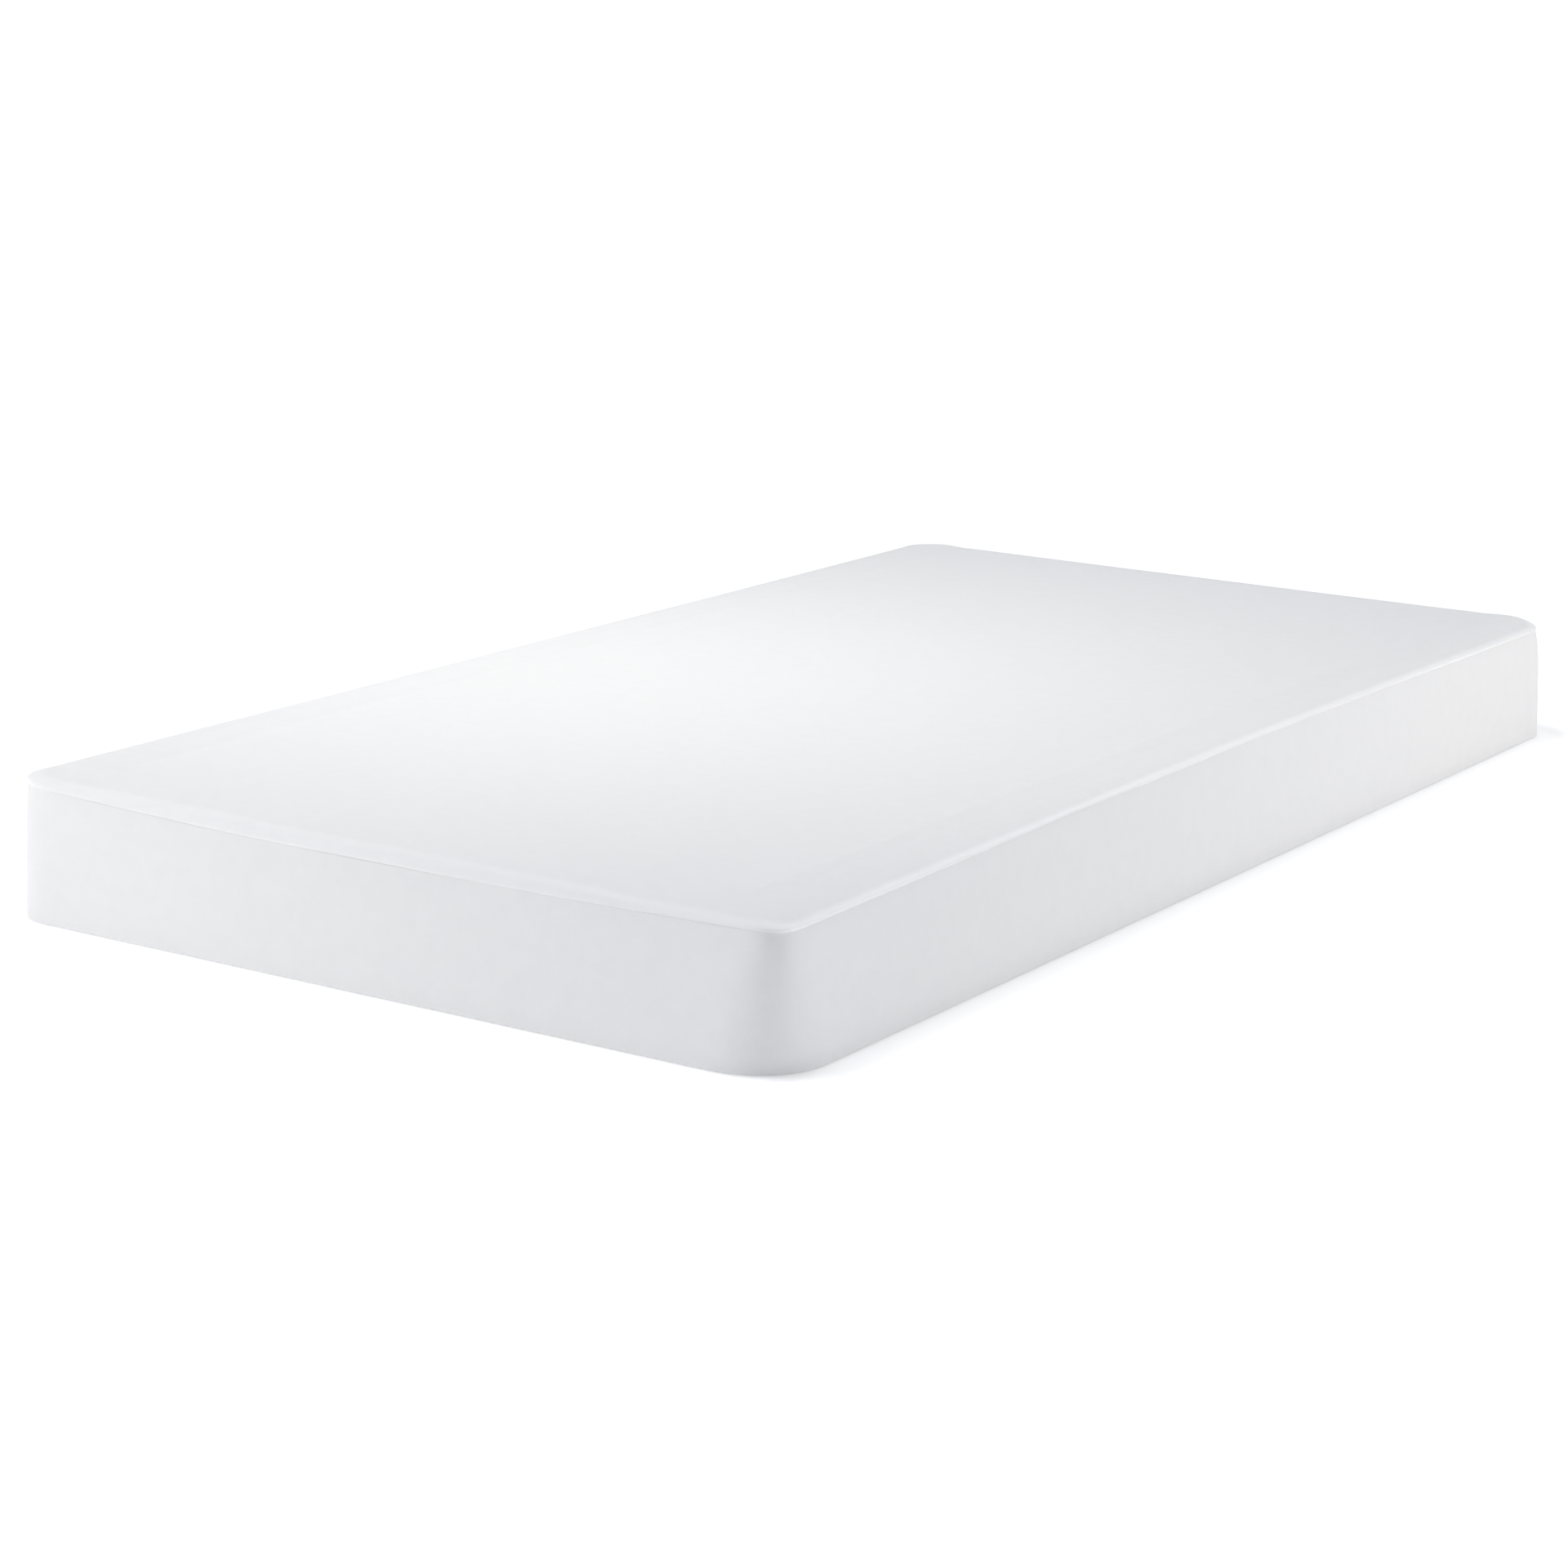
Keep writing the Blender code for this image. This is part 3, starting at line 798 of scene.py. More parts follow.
COIL_PITCH = 0.0014
COIL_WIRE = 0.00038
COIL_POINTS = 8
COIL_SIDES = 5
TAPE_OVERHANG = 0.0040
PLATE_THICKNESS = 0.0010
METAL_EDGE = 0.00022
LIP_HALF_HEIGHT = 0.00055
DIVIDER_HALF_HEIGHT = 0.00024
SLIDER_WAIST = 0.0007
BAIL_HALF_LENGTH = 0.0032
BAIL_RADIUS = 0.0016
BAIL_WIDTH = 0.0024
HOLE_HALF_LENGTH = 0.0022
HOLE_HALF_DEPTH = 0.0010
HOLE_RADIUS = 0.0007
PULL_HINGE_Y = 0.95175
# How far the pull reaches past its hinge.
PULL_EDGE = 0.0006
PULL_ROUND_STEPS = 12
GRIP_BARS = 5
GRIP_BAR_PITCH = 0.0014


def make_zip_tape(name, node):
    """One woven tape of the zip, which ends under the border's stubs."""
    low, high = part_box(node)
    x = np.linspace(high.x + TAPE_OVERHANG, low.x - TAPE_OVERHANG, 81)
    y = (low.y + high.y) / 2 + 0.0003 + 0.00008 * np.sin(x * 2 * math.pi / 0.045)
    rows = [np.column_stack((x, y, np.full(len(x), z))) for z in np.linspace(low.z, high.z, 10)]
    tape = sheet_object(name, rows, [row[:, [0, 2]] for row in rows])
    thicken(tape, high.y - low.y - 0.0001)
    return tape


def make_coil(name, node, side, shift):
    """One row of the zip's coil: an oval spiral of nylon whose turns are staggered by shift."""
    low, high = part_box(node)
    turns = int((high.x - low.x - COIL_PITCH) / COIL_PITCH)
    phase = np.arange(turns * COIL_POINTS + 1) / COIL_POINTS
    rise = np.cos(phase * 2 * math.pi)
    x = low.x + COIL_PITCH * (0.5 + shift) + phase * COIL_PITCH
    y = (low.y + high.y) / 2 + ((high.y - low.y) / 2 - COIL_WIRE) * np.sin(phase * 2 * math.pi)
    half_height = (high.z - low.z) / 2 - COIL_WIRE
    z = (low.z + high.z) / 2 - side * half_height * np.sign(rise) * np.abs(rise) ** 0.8
    path = np.column_stack((np.clip(x, low.x, high.x), y, z))
    points, faces = tube_arrays(path, COIL_WIRE, COIL_SIDES, (1.0, 0.0, 0.0), math.pi / 2)
    return mesh_object(name, points, faces)


def shield_outline(half_length, wide, narrow):
    """A slider plate's outline: a wide, round-shouldered mouth at +X and a narrower tail."""
    upper = [(half_length - 0.0012, wide * 0.80), (half_length - 0.0030, wide * 0.97),
             (half_length - 0.0048, wide), (0.0, (wide + narrow) / 2),
             (-half_length + 0.0018, narrow), (-half_length + 0.0005, narrow * 0.86)]
    nose = [(half_length - 0.0003, wide * 0.45), (half_length, 0.0), (half_length - 0.0003, -wide * 0.45)]
    tail = [(-half_length, -narrow * 0.5), (-half_length, narrow * 0.5)]
    lower = [(x, -y) for x, y in upper]
    outline = nose[1::-1] + upper + tail[::-1] + lower[::-1] + nose[:1:-1]
    return outline[::-1]


def facing_head(x, y, z):
    """A turn that stands a drawn outline up facing the head end, with its first axis along X."""
    return Matrix.Translation((x, y, z)) @ Matrix.Rotation(math.pi / 2, 4, "X")


def make_slider():
    """The slider: two plates on a divider, with lips along their edges and a bail on the front."""
    low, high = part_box("zip_slider")
    tape_y = (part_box("zip_tape_upper")[0].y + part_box("zip_tape_upper")[1].y) / 2
    middle_x = (low.x + high.x) / 2
    half_length = (high.x - low.x) / 2
    half_height = (high.z - low.z) / 2
    back = tape_y - low.y
    outline = shield_outline(half_length, half_height, half_height - SLIDER_WAIST)
    lip = rounded_outline(half_length - 0.0022, LIP_HALF_HEIGHT, 0.0004, 3)
    lip_depth = back - PLATE_THICKNESS - 0.0001
    lip_z = half_height - LIP_HALF_HEIGHT - 0.0003
    meshes = []
    for side in (1, -1):
        plate_y = tape_y + side * (back - PLATE_THICKNESS / 2)
        meshes.append(plate([outline], PLATE_THICKNESS, METAL_EDGE, facing_head(middle_x, plate_y, ZIP_Z)))
        for edge in (1, -1):
            stand = facing_head(middle_x - 0.0004, tape_y + side * (0.0008 + lip_depth / 2),
                                ZIP_Z + edge * lip_z)
            meshes.append(plate([lip], lip_depth, 0.0002, stand))
    thin = DIVIDER_HALF_HEIGHT
    divider = [(half_length - 0.0006, 0.0), (half_length - 0.0014, thin), (0.0, thin),
               (0.0, -thin), (half_length - 0.0014, -thin)]
    meshes.append(plate([divider], 2 * back - PLATE_THICKNESS, 0.00005,
                        facing_head(middle_x, tape_y, ZIP_Z)))
    root = back - 0.0006
    top = high.y - tape_y
    arch = rounded_outline(BAIL_HALF_LENGTH, (top - root) / 2, BAIL_RADIUS, 6)
    hole = rounded_outline(HOLE_HALF_LENGTH, HOLE_HALF_DEPTH, HOLE_RADIUS, 6)
    arch = [(x, y + (top + root) / 2) for x, y in arch]
    hole = [(x, y + PULL_HINGE_Y - tape_y) for x, y in hole]
    meshes.append(plate([arch, hole], BAIL_WIDTH, 0.0003, Matrix.Translation((middle_x, tape_y, ZIP_Z))))
    return joined("zip_slider_body", meshes)


def make_pull():
    """The pull: a plate that widens to a round end, with a window for the bail and raised grips."""
    low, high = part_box("zip_pull")
    half_width = (high.z - low.z) / 2
    middle_y = (low.y + high.y) / 2
    thickness = high.y - low.y
    end = low.x - high.x + PULL_EDGE + half_width
    turns = [math.pi * (0.5 + step / PULL_ROUND_STEPS) for step in range(PULL_ROUND_STEPS + 1)]
    shoulder = ((PULL_EDGE - 0.0016, half_width * 0.80), (PULL_EDGE - 0.0060, half_width * 0.66))
    outline = [(PULL_EDGE, -half_width * 0.62), (PULL_EDGE, half_width * 0.62), *shoulder]
    outline += [(end + half_width * math.cos(turn), half_width * math.sin(turn)) for turn in turns]
    outline += [(x, -z) for x, z in shoulder[::-1]]
    window = [(x - 0.00235, z) for x, z in rounded_outline(0.00175, 0.0017, 0.0004, 3)]
    centre_x = high.x - PULL_EDGE
    meshes = [plate([outline[::-1], window], thickness - 0.0003, METAL_EDGE,
                    facing_head(centre_x, middle_y, ZIP_Z))]
    bar = rounded_outline(0.00035, 0.0021, 0.0003, 3)
    for step in range(GRIP_BARS):
        bar_x = centre_x + end + 0.0030 - GRIP_BAR_PITCH * step
        meshes.append(plate([bar], thickness, 0.0001, facing_head(bar_x, middle_y, ZIP_Z)))
    return joined("zip_pull_tab", meshes)


# ---------------------------------------------------------------- the label and the grip dots

LABEL_COLUMNS = 31
LABEL_ROWS = 22
LABEL_CURL = 0.0042
LABEL_BACK = 0.0006
LABEL_THICKNESS = 0.00035
LABEL_STITCH_PROUD = np.array((-0.0002, 0.00030, 0.00042, 0.00030, -0.0002))


def make_label():
    """The blank care label, sewn on along its top edge and curling off the border below."""
    low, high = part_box("care_label")
    half = (high.x - low.x) / 2
    x = np.linspace(half, -half, LABEL_COLUMNS)
    rows, weaves = [], []
    for share in np.linspace(0, 1, LABEL_ROWS):
        z = low.z + (high.z - low.z) * share
        lift = (LABEL_CURL + 0.0014 * (x / half) ** 2) * (1 - share) ** 2
        lift += 0.0006 * (1 - share) * np.sin(x * 2 * math.pi / 0.05 + 0.7)
        y = low.y + LABEL_BACK + lift
        rows.append(np.column_stack(((low.x + high.x) / 2 + x, y, np.full(len(x), z))))
        weaves.append(np.column_stack((x, np.full(len(x), z - low.z))))
    label = sheet_object("care_label_blank", rows, weaves)
    subdivide(label)
    thicken(label, LABEL_THICKNESS)
    return label


def make_label_stitching():
    """The row of stitches that holds the label."""
    low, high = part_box("care_label")
    count = int((high.x - low.x - 0.004) / STITCH_PITCH)
    paths = stitch_row(low.x + 0.003, count, lambda x: low.y + LABEL_BACK, high.z - 0.0030,
                       LABEL_STITCH_PROUD)
    return stitches_object("label_stitching", paths)


DOT_PITCH = 0.025
DOT_RADIUS = 0.0032
DOT_SIDES = 8
DOT_MARGIN = 0.030
# A dot's rings from the fabric down to the floor, as a share of its radius and a height.
DOT_RINGS = ((1.0, 0.0009), (0.92, 0.0004), (0.62, 0.00008))


def dot_faces():
    """The faces of one dot: its sides, its tip and its flat back."""
    rings = np.arange(len(DOT_RINGS) * DOT_SIDES).reshape(len(DOT_RINGS), DOT_SIDES)
    after = np.roll(rings, -1, axis=1)
    faces = [(after[level, step], rings[level, step], rings[level + 1, step], after[level + 1, step])
             for level in range(len(DOT_RINGS) - 1) for step in range(DOT_SIDES)]
    faces += [(after[-1, step], rings[-1, step], rings.size) for step in range(DOT_SIDES)]
    return [np.array(face) for face in faces + [tuple(rings[0])]]


def make_grip_dots():
    """Rubber dots in staggered rows under the mattress, which stand it off the floor."""
    turns = np.arange(DOT_SIDES) * 2 * math.pi / DOT_SIDES
    dot = np.array([(DOT_RADIUS * share * math.cos(turn), DOT_RADIUS * share * math.sin(turn), height)
                    for share, height in DOT_RINGS for turn in turns] + [(0.0, 0.0, 0.0)])
    one_dot = dot_faces()
    row_gap = DOT_PITCH * math.sqrt(3) / 2
    rows = int((2 * HALF_Y - 2 * DOT_MARGIN) / row_gap)
    columns = int((2 * HALF_X - 2 * DOT_MARGIN) / DOT_PITCH)
    points, faces = [], []
    for row in range(rows + 1):
        y = (row - rows / 2) * row_gap
        for column in range(columns + row % 2):
            x = (column - (columns - 1 + row % 2) / 2) * DOT_PITCH
            if abs(x) > HALF_X - 0.075 and abs(y) > HALF_Y - 0.075:
                continue
            faces += [face + len(points) * len(dot) for face in one_dot]
            points.append(dot + (x, y, 0.0))
    return mesh_object("grip_dots", np.concatenate(points), faces)


# ---------------------------------------------------------------- materials

class Nodes:
    """Short calls for building one material's node tree."""

    def __init__(self, name):
        self.material = bpy.data.materials.new(name)
        self.material.use_nodes = True
        self.tree = self.material.node_tree
        self.shader = self.tree.nodes["Principled BSDF"]

    def feed(self, socket, value):
        """Links a socket to another's output, or gives it a plain value."""
        if isinstance(value, bpy.types.NodeSocket):
            self.tree.links.new(value, socket)
        else:
            socket.default_value = value

    def add(self, kind, inputs=(), **settings):
        """Adds a node with these inputs, by name or place, and these settings."""
        made = self.tree.nodes.new("ShaderNode" + kind)
        for name, value in settings.items():
            setattr(made, name, value)
        for key, value in inputs:
            self.feed(made.inputs[key], value)
        return made

    def math(self, operation, *values):
        """What a calculation makes of one to three values."""
        return self.add("Math", enumerate(values), operation=operation).outputs[0]

    def attribute(self, name):
        """A value stored on the mesh's points, or 0 on a mesh without it."""
        return self.add("Attribute", attribute_name=name)

    def weave(self):
        """The place on the flat cloth, as x and y in metres."""
        split = self.add("SeparateXYZ", [(0, self.attribute("weave").outputs["Vector"])])
        return split.outputs["X"], split.outputs["Y"]

    def place(self, scale=(1, 1, 1)):
        """The place in the object, in metres, stretched."""
        inputs = [("Vector", self.add("TexCoord").outputs["Object"]), ("Scale", scale)]
        return self.add("Mapping", inputs).outputs[0]

    def noise(self, size, detail=2.0, stretch=(1, 1, 1)):
        """Soft noise whose features are about this size."""
        inputs = [("Scale", 1 / size), ("Detail", detail), ("Vector", self.place(stretch))]
        return self.add("TexNoise", inputs).outputs["Fac"]

    def cells(self, size):
        """The distance to the middle of the nearest of many random cells of this size."""
        return self.add("TexVoronoi", [("Scale", 1 / size), ("Vector", self.place())]).outputs["Distance"]

    def blend(self, value, low, high, edge=0.3):
        """A colour between low and high, which are reached this far from the value's 0 and 1."""
        made = self.add("ValToRGB", [(0, value)])
        for element, position, colour in zip(made.color_ramp.elements, (edge, 1 - edge), (low, high)):
            element.position = position
            element.color = (*colour, 1.0)
        return made.outputs["Color"]

    def mottle(self, low, high, size, detail=2.0, edge=0.3):
        """A colour that drifts between two, in patches of about this size."""
        return self.blend(self.noise(size, detail), low, high, edge)

    def spread(self, value, low, high):
        """Maps a value from 0 to 1 onto low to high."""
        return self.add("MapRange", [("Value", value), ("To Min", low), ("To Max", high)]).outputs[0]

    def shade(self, colour, share):
        """A colour times a share."""
        return self.add("VectorMath", [(0, colour), ("Scale", share)], operation="SCALE").outputs[0]

    def bump(self, height, distance, normal=None):
        """A bump of this depth in metres, on top of another's normal."""
        inputs = [("Height", height), ("Distance", distance)] + ([("Normal", normal)] if normal else [])
        return self.add("Bump", inputs).outputs[0]

    def waves(self, value, length):
        """A sine wave of this length along a value."""
        return self.math("SINE", self.math("MULTIPLY", value, 2 * math.pi / length))

    def finish(self, colour, roughness, normal, **constants):
        """Connects the shader and sets its constants."""
        self.feed(self.shader.inputs["Base Color"], colour)
        self.feed(self.shader.inputs["Roughness"], roughness)
        self.feed(self.shader.inputs["Normal"], normal)
        for name, value in constants.items():
            self.shader.inputs[name.replace("_", " ")].default_value = value
        return self.material


def jersey_height(nodes, wale, course):
    """The height of knitted V stitches, from 0 to 1, in columns a wale wide."""
    across, along = nodes.weave()
    column = nodes.math("FRACT", nodes.math("DIVIDE", across, wale))
    from_middle = nodes.math("ABSOLUTE", nodes.math("SUBTRACT", column, 0.5))
    slant = nodes.math("ADD", nodes.math("DIVIDE", along, course), from_middle)
    loops = nodes.math("MULTIPLY_ADD", nodes.waves(slant, 1.0), 0.3, 0.7)
    return nodes.math("MULTIPLY", nodes.waves(from_middle, 1.0), loops)


def weave_height(nodes, thread):
    """The height of a plain weave, from 0 to 1, of threads this wide."""
    threads = [nodes.waves(way, 2 * thread) for way in nodes.weave()]
    return nodes.math("MULTIPLY_ADD", nodes.math("MULTIPLY", *threads), 0.5, 0.5)


# How much the painted seam highlight brightens the knit at its strongest.
SEAM_HIGHLIGHT_GAIN = 1.12


def knit_material(name, low, high, wale=0.0013, course=0.0011, depth=0.00018, roughness=0.86):
    """Fine jersey with faint mottling and soft creases, painted shade in its stitch hollows and a painted
    highlight along the seams.
    """
    nodes = Nodes(name)
    stitches = jersey_height(nodes, wale, course)
    # Painted shade: the colour darkens in the stitch hollows.
    colour = nodes.shade(nodes.mottle(low, high, 0.020, 4.0), nodes.spread(stitches, 0.955, 1.0))
    # The painted seam highlight lightens the colour near the seam.
    painted_highlight = nodes.attribute("painted_highlight").outputs["Fac"]
    colour = nodes.shade(colour, nodes.spread(painted_highlight, 1.0, SEAM_HIGHLIGHT_GAIN))
    rough = nodes.spread(nodes.noise(0.004), roughness - 0.05, roughness + 0.05)
    normal = nodes.bump(nodes.noise(0.012, 3.0, (1, 1, 0.5)), 0.0003)
    normal = nodes.bump(stitches, depth, normal)
    return nodes.finish(colour, rough, normal, Sheen_Weight=0.15, Sheen_Roughness=0.5)


def grip_material():
    """A light, close-woven underside fabric."""
    nodes = Nodes("grip_fabric")
    threads = weave_height(nodes, 0.0008)
    colour = nodes.mottle((0.56, 0.57, 0.59), (0.64, 0.65, 0.67), 0.05, 3.0)
    # Painted shade: the colour darkens in the hollows between the threads.
    colour = nodes.shade(colour, nodes.spread(threads, 0.90, 1.0))
    return nodes.finish(colour, nodes.spread(nodes.noise(0.003), 0.75, 0.88), nodes.bump(threads, 0.00025))


def rubber_material():
    """Pale grey rubber of the grip dots."""
    nodes = Nodes("grip_rubber")
    colour = nodes.mottle((0.40, 0.41, 0.43), (0.46, 0.47, 0.49), 0.010)
    rough = nodes.spread(nodes.noise(0.002), 0.45, 0.6)
    return nodes.finish(colour, rough, nodes.bump(nodes.noise(0.0008), 0.00005))


def wadding_material():
    """Loose white fibre."""
    nodes = Nodes("wadding")
    fibres = nodes.noise(0.004, 6.0, (1, 2.5, 1))
    colour = nodes.blend(fibres, (0.84, 0.84, 0.84), (0.92, 0.92, 0.92))
    normal = nodes.bump(fibres, 0.0012, nodes.bump(nodes.noise(0.03), 0.002))
    return nodes.finish(colour, nodes.spread(fibres, 0.9, 1.0), normal, Sheen_Weight=0.3)


def foam_material(name, low, high, cell):
    """Open-cell foam with a skin of fine pores."""
    nodes = Nodes(name)
    pores = nodes.cells(cell)
    # Painted shade: the colour darkens where the pore pattern sinks, towards each cell's edge.
    colour = nodes.shade(nodes.mottle(low, high, 0.08, 3.0), nodes.spread(pores, 1.0, 0.86))
    normal = nodes.bump(nodes.noise(0.02, 3.0), 0.0008)
    normal = nodes.bump(nodes.spread(pores, 1.0, 0.0), cell * 0.4, normal)
    return nodes.finish(colour, nodes.spread(pores, 0.65, 0.9), normal)


def woven_material(name, low, high, thread):
    """A close plain weave, as of tapes."""
    nodes = Nodes(name)
    threads = weave_height(nodes, thread)
    # Painted shade: the colour darkens in the hollows between the threads.
    colour = nodes.shade(nodes.mottle(low, high, 0.02), nodes.spread(threads, 0.90, 1.0))
    rough = nodes.spread(nodes.noise(0.002), 0.65, 0.8)
    return nodes.finish(colour, rough, nodes.bump(threads, thread * 0.3), Sheen_Weight=0.1)


def nylon_material(name, low, high):
    """Smooth, slightly glossy thread."""
    nodes = Nodes(name)
    rough = nodes.spread(nodes.noise(0.001), 0.3, 0.45)
    return nodes.finish(nodes.mottle(low, high, 0.006), rough, nodes.bump(nodes.noise(0.0004), 0.00002))


def zinc_material():
    """Cast and tumbled zinc, satin, with faint lighter patches."""
    nodes = Nodes("zinc")
    colour = nodes.mottle((0.60, 0.61, 0.63), (0.76, 0.77, 0.79), 0.004, 4.0, 0.35)
    rough = nodes.spread(nodes.noise(0.0015, 4.0), 0.22, 0.38)
    return nodes.finish(colour, rough, nodes.bump(nodes.noise(0.0006, 3.0), 0.00003), Metallic=1.0)


def satin_material():
    """The label's satin ribbon, with fine ribs."""
    nodes = Nodes("label_satin")
    ribs = nodes.math("MULTIPLY_ADD", nodes.waves(nodes.weave()[1], 0.0005), 0.5, 0.5)
    colour = nodes.mottle((0.87, 0.87, 0.86), (0.91, 0.91, 0.90), 0.02)
    # Painted shade: the colour darkens a little in the hollows between the ribs.
    colour = nodes.shade(colour, nodes.spread(ribs, 0.98, 1.0))
    rough = nodes.spread(nodes.noise(0.003), 0.35, 0.5)
    return nodes.finish(colour, rough, nodes.bump(ribs, 0.00004), Sheen_Weight=0.2)


# ---------------------------------------------------------------- the studio

CAMERA_PLACE = (2.2861, -3.7480, 1.0882)
CAMERA_YAW = math.radians(32.68)
CAMERA_PITCH = math.radians(13.47)
CAMERA_ROLL = math.radians(1.107)
CAMERA_LENS = 85.2


def make_camera():
    """The camera, low at the foot's right."""
    data = bpy.data.cameras.new("camera")
    data.lens = CAMERA_LENS
    data.sensor_width = 36.0
    data.clip_end = 100.0
    camera = bpy.data.objects.new("camera", data)
    turn = (Matrix.Rotation(CAMERA_YAW, 4, "Z")
            @ Matrix.Rotation(math.pi / 2 - CAMERA_PITCH, 4, "X")
            @ Matrix.Rotation(CAMERA_ROLL, 4, "Z"))
    camera.matrix_world = Matrix.Translation(CAMERA_PLACE) @ turn
    bpy.context.scene.collection.objects.link(camera)
    bpy.context.scene.camera = camera


def turn_towards(light, direction):
    """Turns a light so that it shines against this direction, which points to where it comes from."""
    light.rotation_mode = "QUATERNION"
    light.rotation_quaternion = Vector(direction).to_track_quat("Z", "Y")


def add_light(name, kind, strength, colour):
    """A light that the camera itself does not see."""
    data = bpy.data.lights.new(name, kind)
    data.energy = strength
    data.color = colour
    light = bpy.data.objects.new(name, data)
    light.visible_camera = False
    bpy.context.scene.collection.objects.link(light)
    return light


def make_panel_light(name, spot, target, width, height, power, colour):
    """A soft rectangular light near the mattress, aimed at a point on it."""
    light = add_light(name, "AREA", power, colour)
    light.data.shape = "RECTANGLE"
    light.data.size = width
    light.data.size_y = height
    light.location = spot
    turn_towards(light, Vector(spot) - Vector(target))


def make_far_light(name, azimuth, elevation, spread, strength, colour):
    """A soft light from far away. Angles in degrees; azimuth 0 is +X and 90 is +Y."""
    light = add_light(name, "SUN", strength, colour)
    light.data.angle = math.radians(spread)
    azimuth, elevation = math.radians(azimuth), math.radians(elevation)
    level = math.cos(elevation)
    turn_towards(light, (math.cos(azimuth) * level, math.sin(azimuth) * level, math.sin(elevation)))


def make_world(colour, strength):
    """Even light from all round."""
    world = bpy.data.worlds.new("studio")
    world.use_nodes = True
    background = world.node_tree.nodes["Background"]
    background.inputs["Color"].default_value = (*colour, 1.0)
    background.inputs["Strength"].default_value = strength
    bpy.context.scene.world = world


FLOOR_GLOW = 0.30
# The painted contact shadow on the floor: its width, its darkest share, its shift and its corner radius.
SHADE_SPREAD = 0.036
SHADE_DEPTH = 0.84
SHADE_SHIFT = (0.016, 0.036)
SHADE_CORNER = 0.050
FLOOR_HALF = 120.0


def contact_shade(nodes):
    """A painted contact shadow: the floor's share of brightness, 1, falling to SHADE_DEPTH close under the
    mattress.

    The soft band of painted shadow lies on the right and at the head end, away from the light, as a drop
    shadow does.
    """
    split = nodes.add("SeparateXYZ", [(0, nodes.place())])
    beyond = []
    for axis, half, shift in zip("XY", (HALF_X, HALF_Y), SHADE_SHIFT):
        away = nodes.math("ABSOLUTE", nodes.math("SUBTRACT", split.outputs[axis], shift))
        past = nodes.math("MAXIMUM", nodes.math("SUBTRACT", away, half - SHADE_CORNER), 0.0)
        beyond.append(nodes.math("POWER", past, 2.0))
    reach = nodes.math("SQRT", nodes.math("ADD", *beyond))
    share = nodes.math("DIVIDE", nodes.math("SUBTRACT", reach, SHADE_CORNER), SHADE_SPREAD)
    return nodes.add("MapRange", [("Value", share), ("To Min", SHADE_DEPTH)],
                     interpolation_type="SMOOTHSTEP").outputs[0]


def make_floor():
    """A wide pale floor that glows a little, so that it stays white; a painted contact shadow darkens its
    colour and glow beside the mattress.
    """
    corners = np.array([(-1, -1, 0), (1, -1, 0), (1, 1, 0), (-1, 1, 0)]) * FLOOR_HALF
    floor = mesh_object("floor", corners, [(0, 1, 2, 3)])
    nodes = Nodes("floor")
    shade = contact_shade(nodes)
    nodes.feed(nodes.shader.inputs["Base Color"], nodes.shade((0.90, 0.90, 0.90), shade))
    nodes.feed(nodes.shader.inputs["Roughness"], nodes.spread(nodes.noise(0.5), 0.85, 0.95))
    nodes.feed(nodes.shader.inputs["Emission Strength"], nodes.math("MULTIPLY", shade, FLOOR_GLOW))
    nodes.feed(nodes.shader.inputs["Specular IOR Level"], 0.0)
    nodes.feed(nodes.shader.inputs["Emission Color"], (1.0, 1.0, 1.0, 1.0))
    floor.data.materials.append(nodes.material)


def make_studio():
    """Camera, floor, lights and view settings."""
    make_camera()
    make_floor()
    make_far_light("overhead", 0, 89, 20, 1.19, (0.98, 0.985, 1.0))
    make_far_light("left_front", -160, 25, 25, 0.79, (1.0, 1.0, 1.0))
    make_far_light("right_back", 36, 20, 20, 0.76, (1.0, 0.99, 1.0))
    make_panel_light("over_top", (-0.40, -0.15, 1.15), (-0.35, -0.12, 0.16), 1.1, 1.1, 6.0,
                     (1.0, 0.97, 0.90))
    make_panel_light("foot_left", (-0.95, -2.3, 0.5), (-0.3, -0.95, 0.05), 0.8, 0.5, 7.4, (1.0, 0.98, 0.95))
    make_panel_light("far_right", (2.2, 1.0, 0.6), (0.5, 0.7, 0.05), 0.8, 0.5, 7.4, (1.0, 0.95, 0.85))
    make_world((0.84, 0.89, 1.0), 0.28)
    bpy.context.scene.view_settings.view_transform = "Standard"


# ---------------------------------------------------------------- assembly

def place(obj, body, slot, material, *nodes):
    """Gives a piece its material and body, and hides the CAD nodes it stands for; the slot is not used."""
    obj.data.materials.clear()
    obj.data.materials.append(material)
    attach(obj, body)
    if nodes:
        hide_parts(*nodes)


def place_sheet(obj, slot, material, node):
    """Places a sheet of the mattress in its node's stead."""
    place(obj, "mattress", slot, material, node)


def dress_stops(material):
    """The CAD stops keep their shape, with softened edges."""
    for name in ("zip_top_stop_upper", "zip_top_stop_lower", "zip_bottom_stop"):
        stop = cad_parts[name]
        stop.data.materials.clear()
        stop.data.materials.append(material)
        stop.modifiers.new("Join", "WELD").merge_threshold = 0.00001
        soften = stop.modifiers.new("Soften", "BEVEL")
        soften.width = 0.0006
        soften.segments = 3
        soften.limit_method = "ANGLE"


def build_cover(knit):
    """The top, border and underside, sewn together at two seams."""
    top = make_cover_top()
    border = make_cover_border()
    base = make_cover_base()
    for cloth in (top, border, base):
        subdivide(cloth)
    crumple(top, ((0.30, 0.0004), (0.10, 0.00012)))
    crumple(border, ((0.16, 0.0004), (0.06, 0.00010)))
    for cloth in (top, border):
        thicken(cloth, KNIT_THICKNESS)
    thicken(base, GRIP_THICKNESS)
    place(make_grip_dots(), "mattress", "grip_fabric", rubber_material())
    place_sheet(top, "cover_knit", knit, "top_panel")
    place_sheet(border, "cover_knit", knit, "side_border")
    place_sheet(base, "grip_fabric", grip_material(), "bottom_panel")


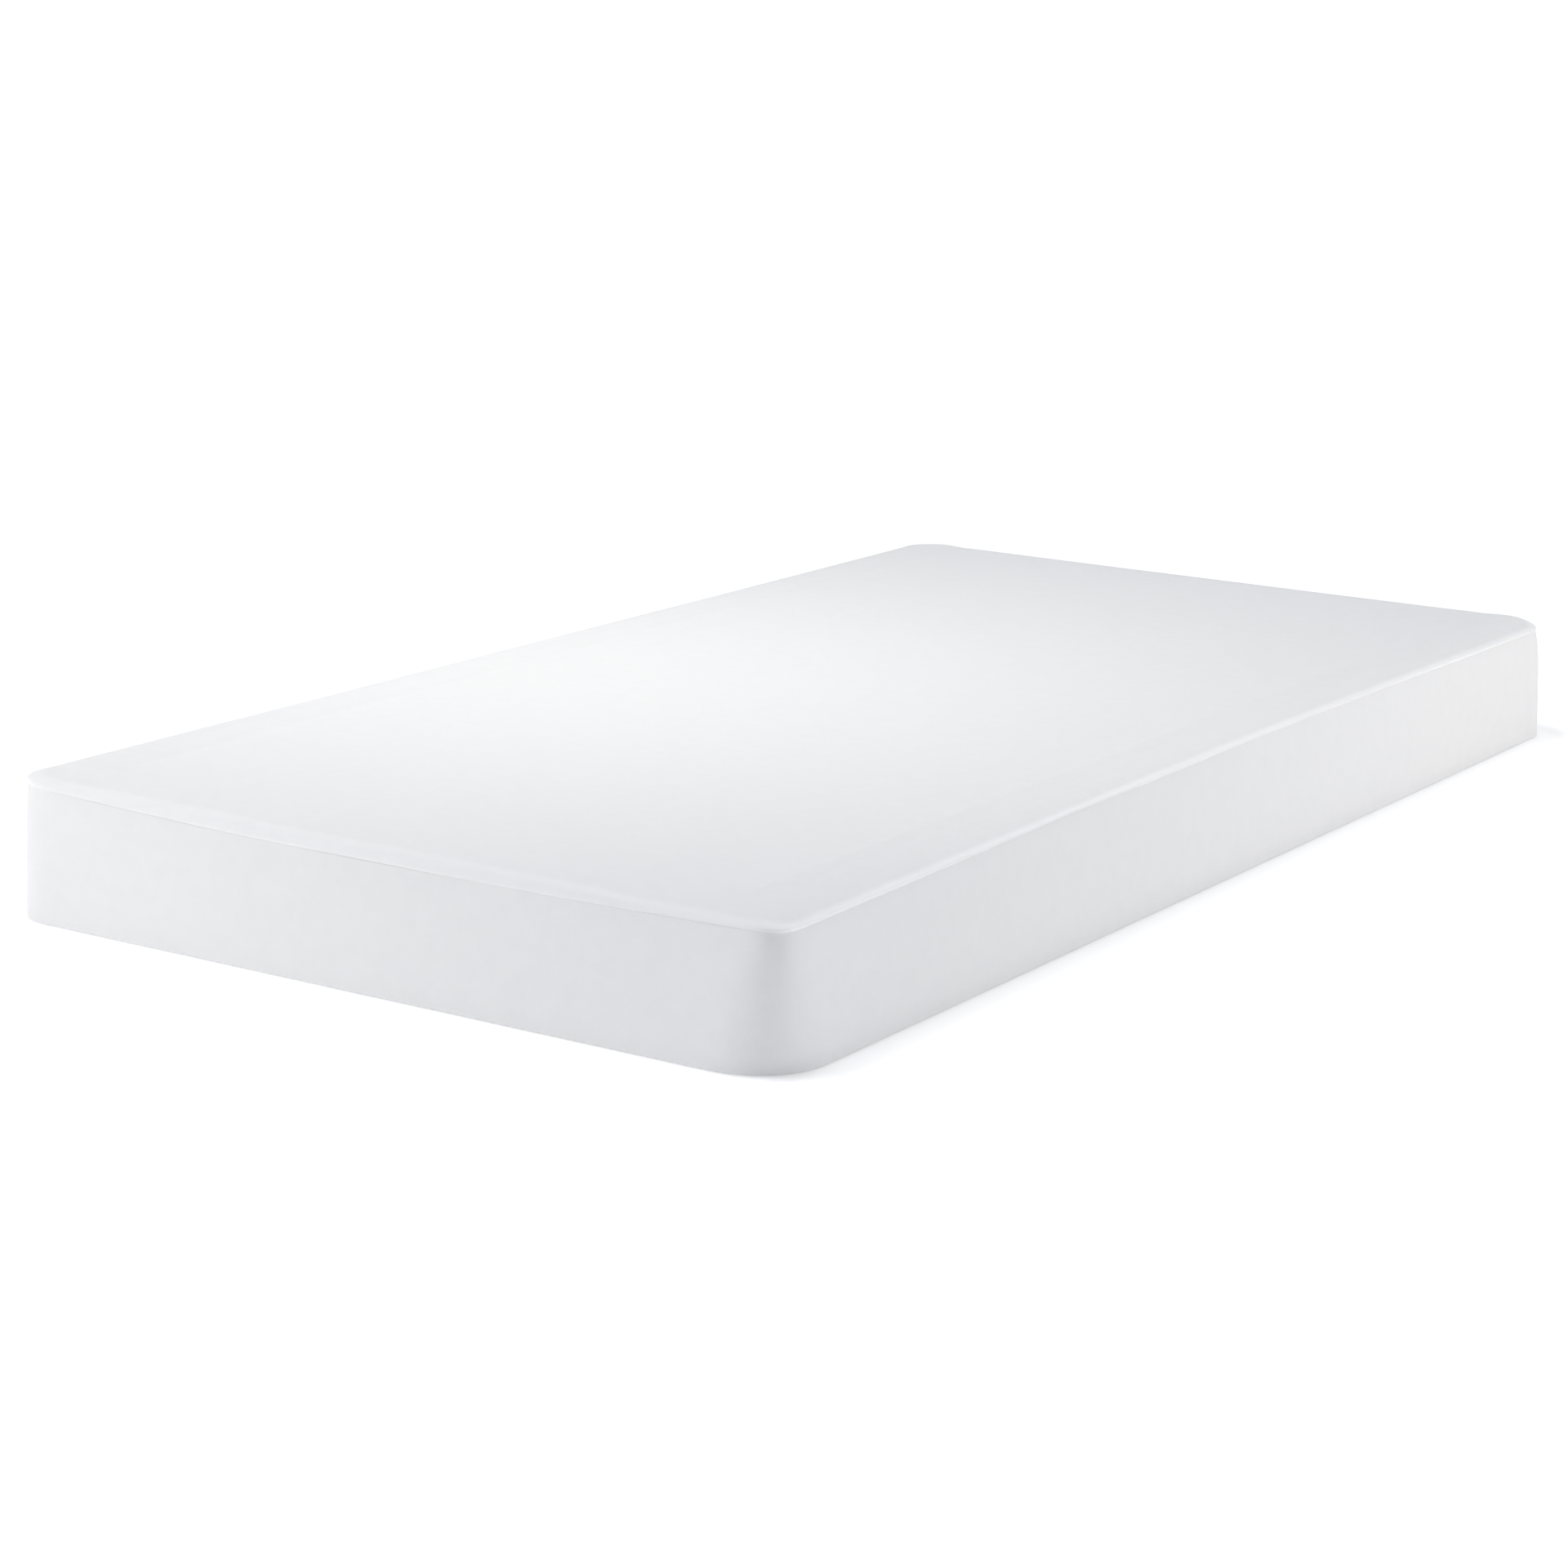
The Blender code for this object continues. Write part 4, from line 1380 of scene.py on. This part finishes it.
def build_core():
    """The foam layers, their sock and the wadding."""
    foams = (("support_foam", (0.77, 0.78, 0.80), (0.83, 0.84, 0.85), 0.0012),
             ("transition_foam", (0.58, 0.69, 0.80), (0.65, 0.75, 0.84), 0.0010),
             ("memory_foam", (0.83, 0.77, 0.58), (0.89, 0.83, 0.66), 0.0007))
    for name, low, high, cell in foams:
        layer = make_memory_foam() if name == "memory_foam" else make_foam(name)
        place(layer, "mattress", name, foam_material(name, low, high, cell), name)
    sock_knit = knit_material("sock_knit", (0.77, 0.75, 0.69), (0.83, 0.81, 0.75), 0.0022, 0.0018, 0.0003)
    place_sheet(make_sock(), "sock_knit", sock_knit, "fire_sock")
    wadding = make_wadding()
    place(wadding, "mattress", "wadding", wadding_material(), "fibre_pad")


def build_tapes(woven):
    """The tapes that the cover's two seams are sewn through."""
    for tape, node in ((make_top_tape(), "top_seam_tape"), (make_bottom_tape(), "bottom_seam_tape")):
        place_sheet(tape, "woven_tape", woven, node)


def build_zip(woven):
    """The zip's tapes, coils, slider, pull and stops."""
    nylon = nylon_material("nylon_coil", (0.82, 0.82, 0.81), (0.88, 0.88, 0.87))
    for name, node, coil_node, side, shift in (
            ("zip_tape_top", "zip_tape_upper", "zip_coil_upper", 1, 0.0),
            ("zip_tape_bottom", "zip_tape_lower", "zip_coil_lower", -1, 0.5)):
        turns = coil_node + "_turns"
        place_sheet(make_zip_tape(name, node), "woven_tape", woven, node)
        place(make_coil(turns, coil_node, side, shift), "mattress", "nylon_coil", nylon, coil_node)
    zinc = zinc_material()
    place(make_slider(), "zip_slider", "zinc", zinc, "zip_slider")
    place(make_pull(), "zip_pull", "zinc", zinc, "zip_pull")
    dress_stops(zinc)


def build_strips(knit, thread):
    """The strips above and below the zip, and the stitching that holds them to its tapes."""
    upper = make_strip_upper()
    lower = make_strip_lower()
    place(make_topstitching(), "mattress", "cover_knit", thread)
    place_sheet(upper, "cover_knit", knit, "head_border_upper")
    place_sheet(lower, "cover_knit", knit, "head_border_lower")


def build_label(thread):
    """The care label and its stitching."""
    label = make_label()
    place(make_label_stitching(), "mattress", "label_satin", thread)
    place_sheet(label, "label_satin", satin_material(), "care_label")


make_studio()
cover_knit = knit_material("cover_knit", (0.852, 0.854, 0.858), (0.868, 0.869, 0.872))
woven_tape = woven_material("woven_tape", (0.83, 0.83, 0.82), (0.88, 0.88, 0.87), 0.0007)
sewing_thread = nylon_material("sewing_thread", (0.84, 0.84, 0.83), (0.90, 0.90, 0.89))
build_cover(cover_knit)
build_core()
build_tapes(woven_tape)
build_strips(cover_knit, sewing_thread)
build_zip(woven_tape)
build_label(sewing_thread)
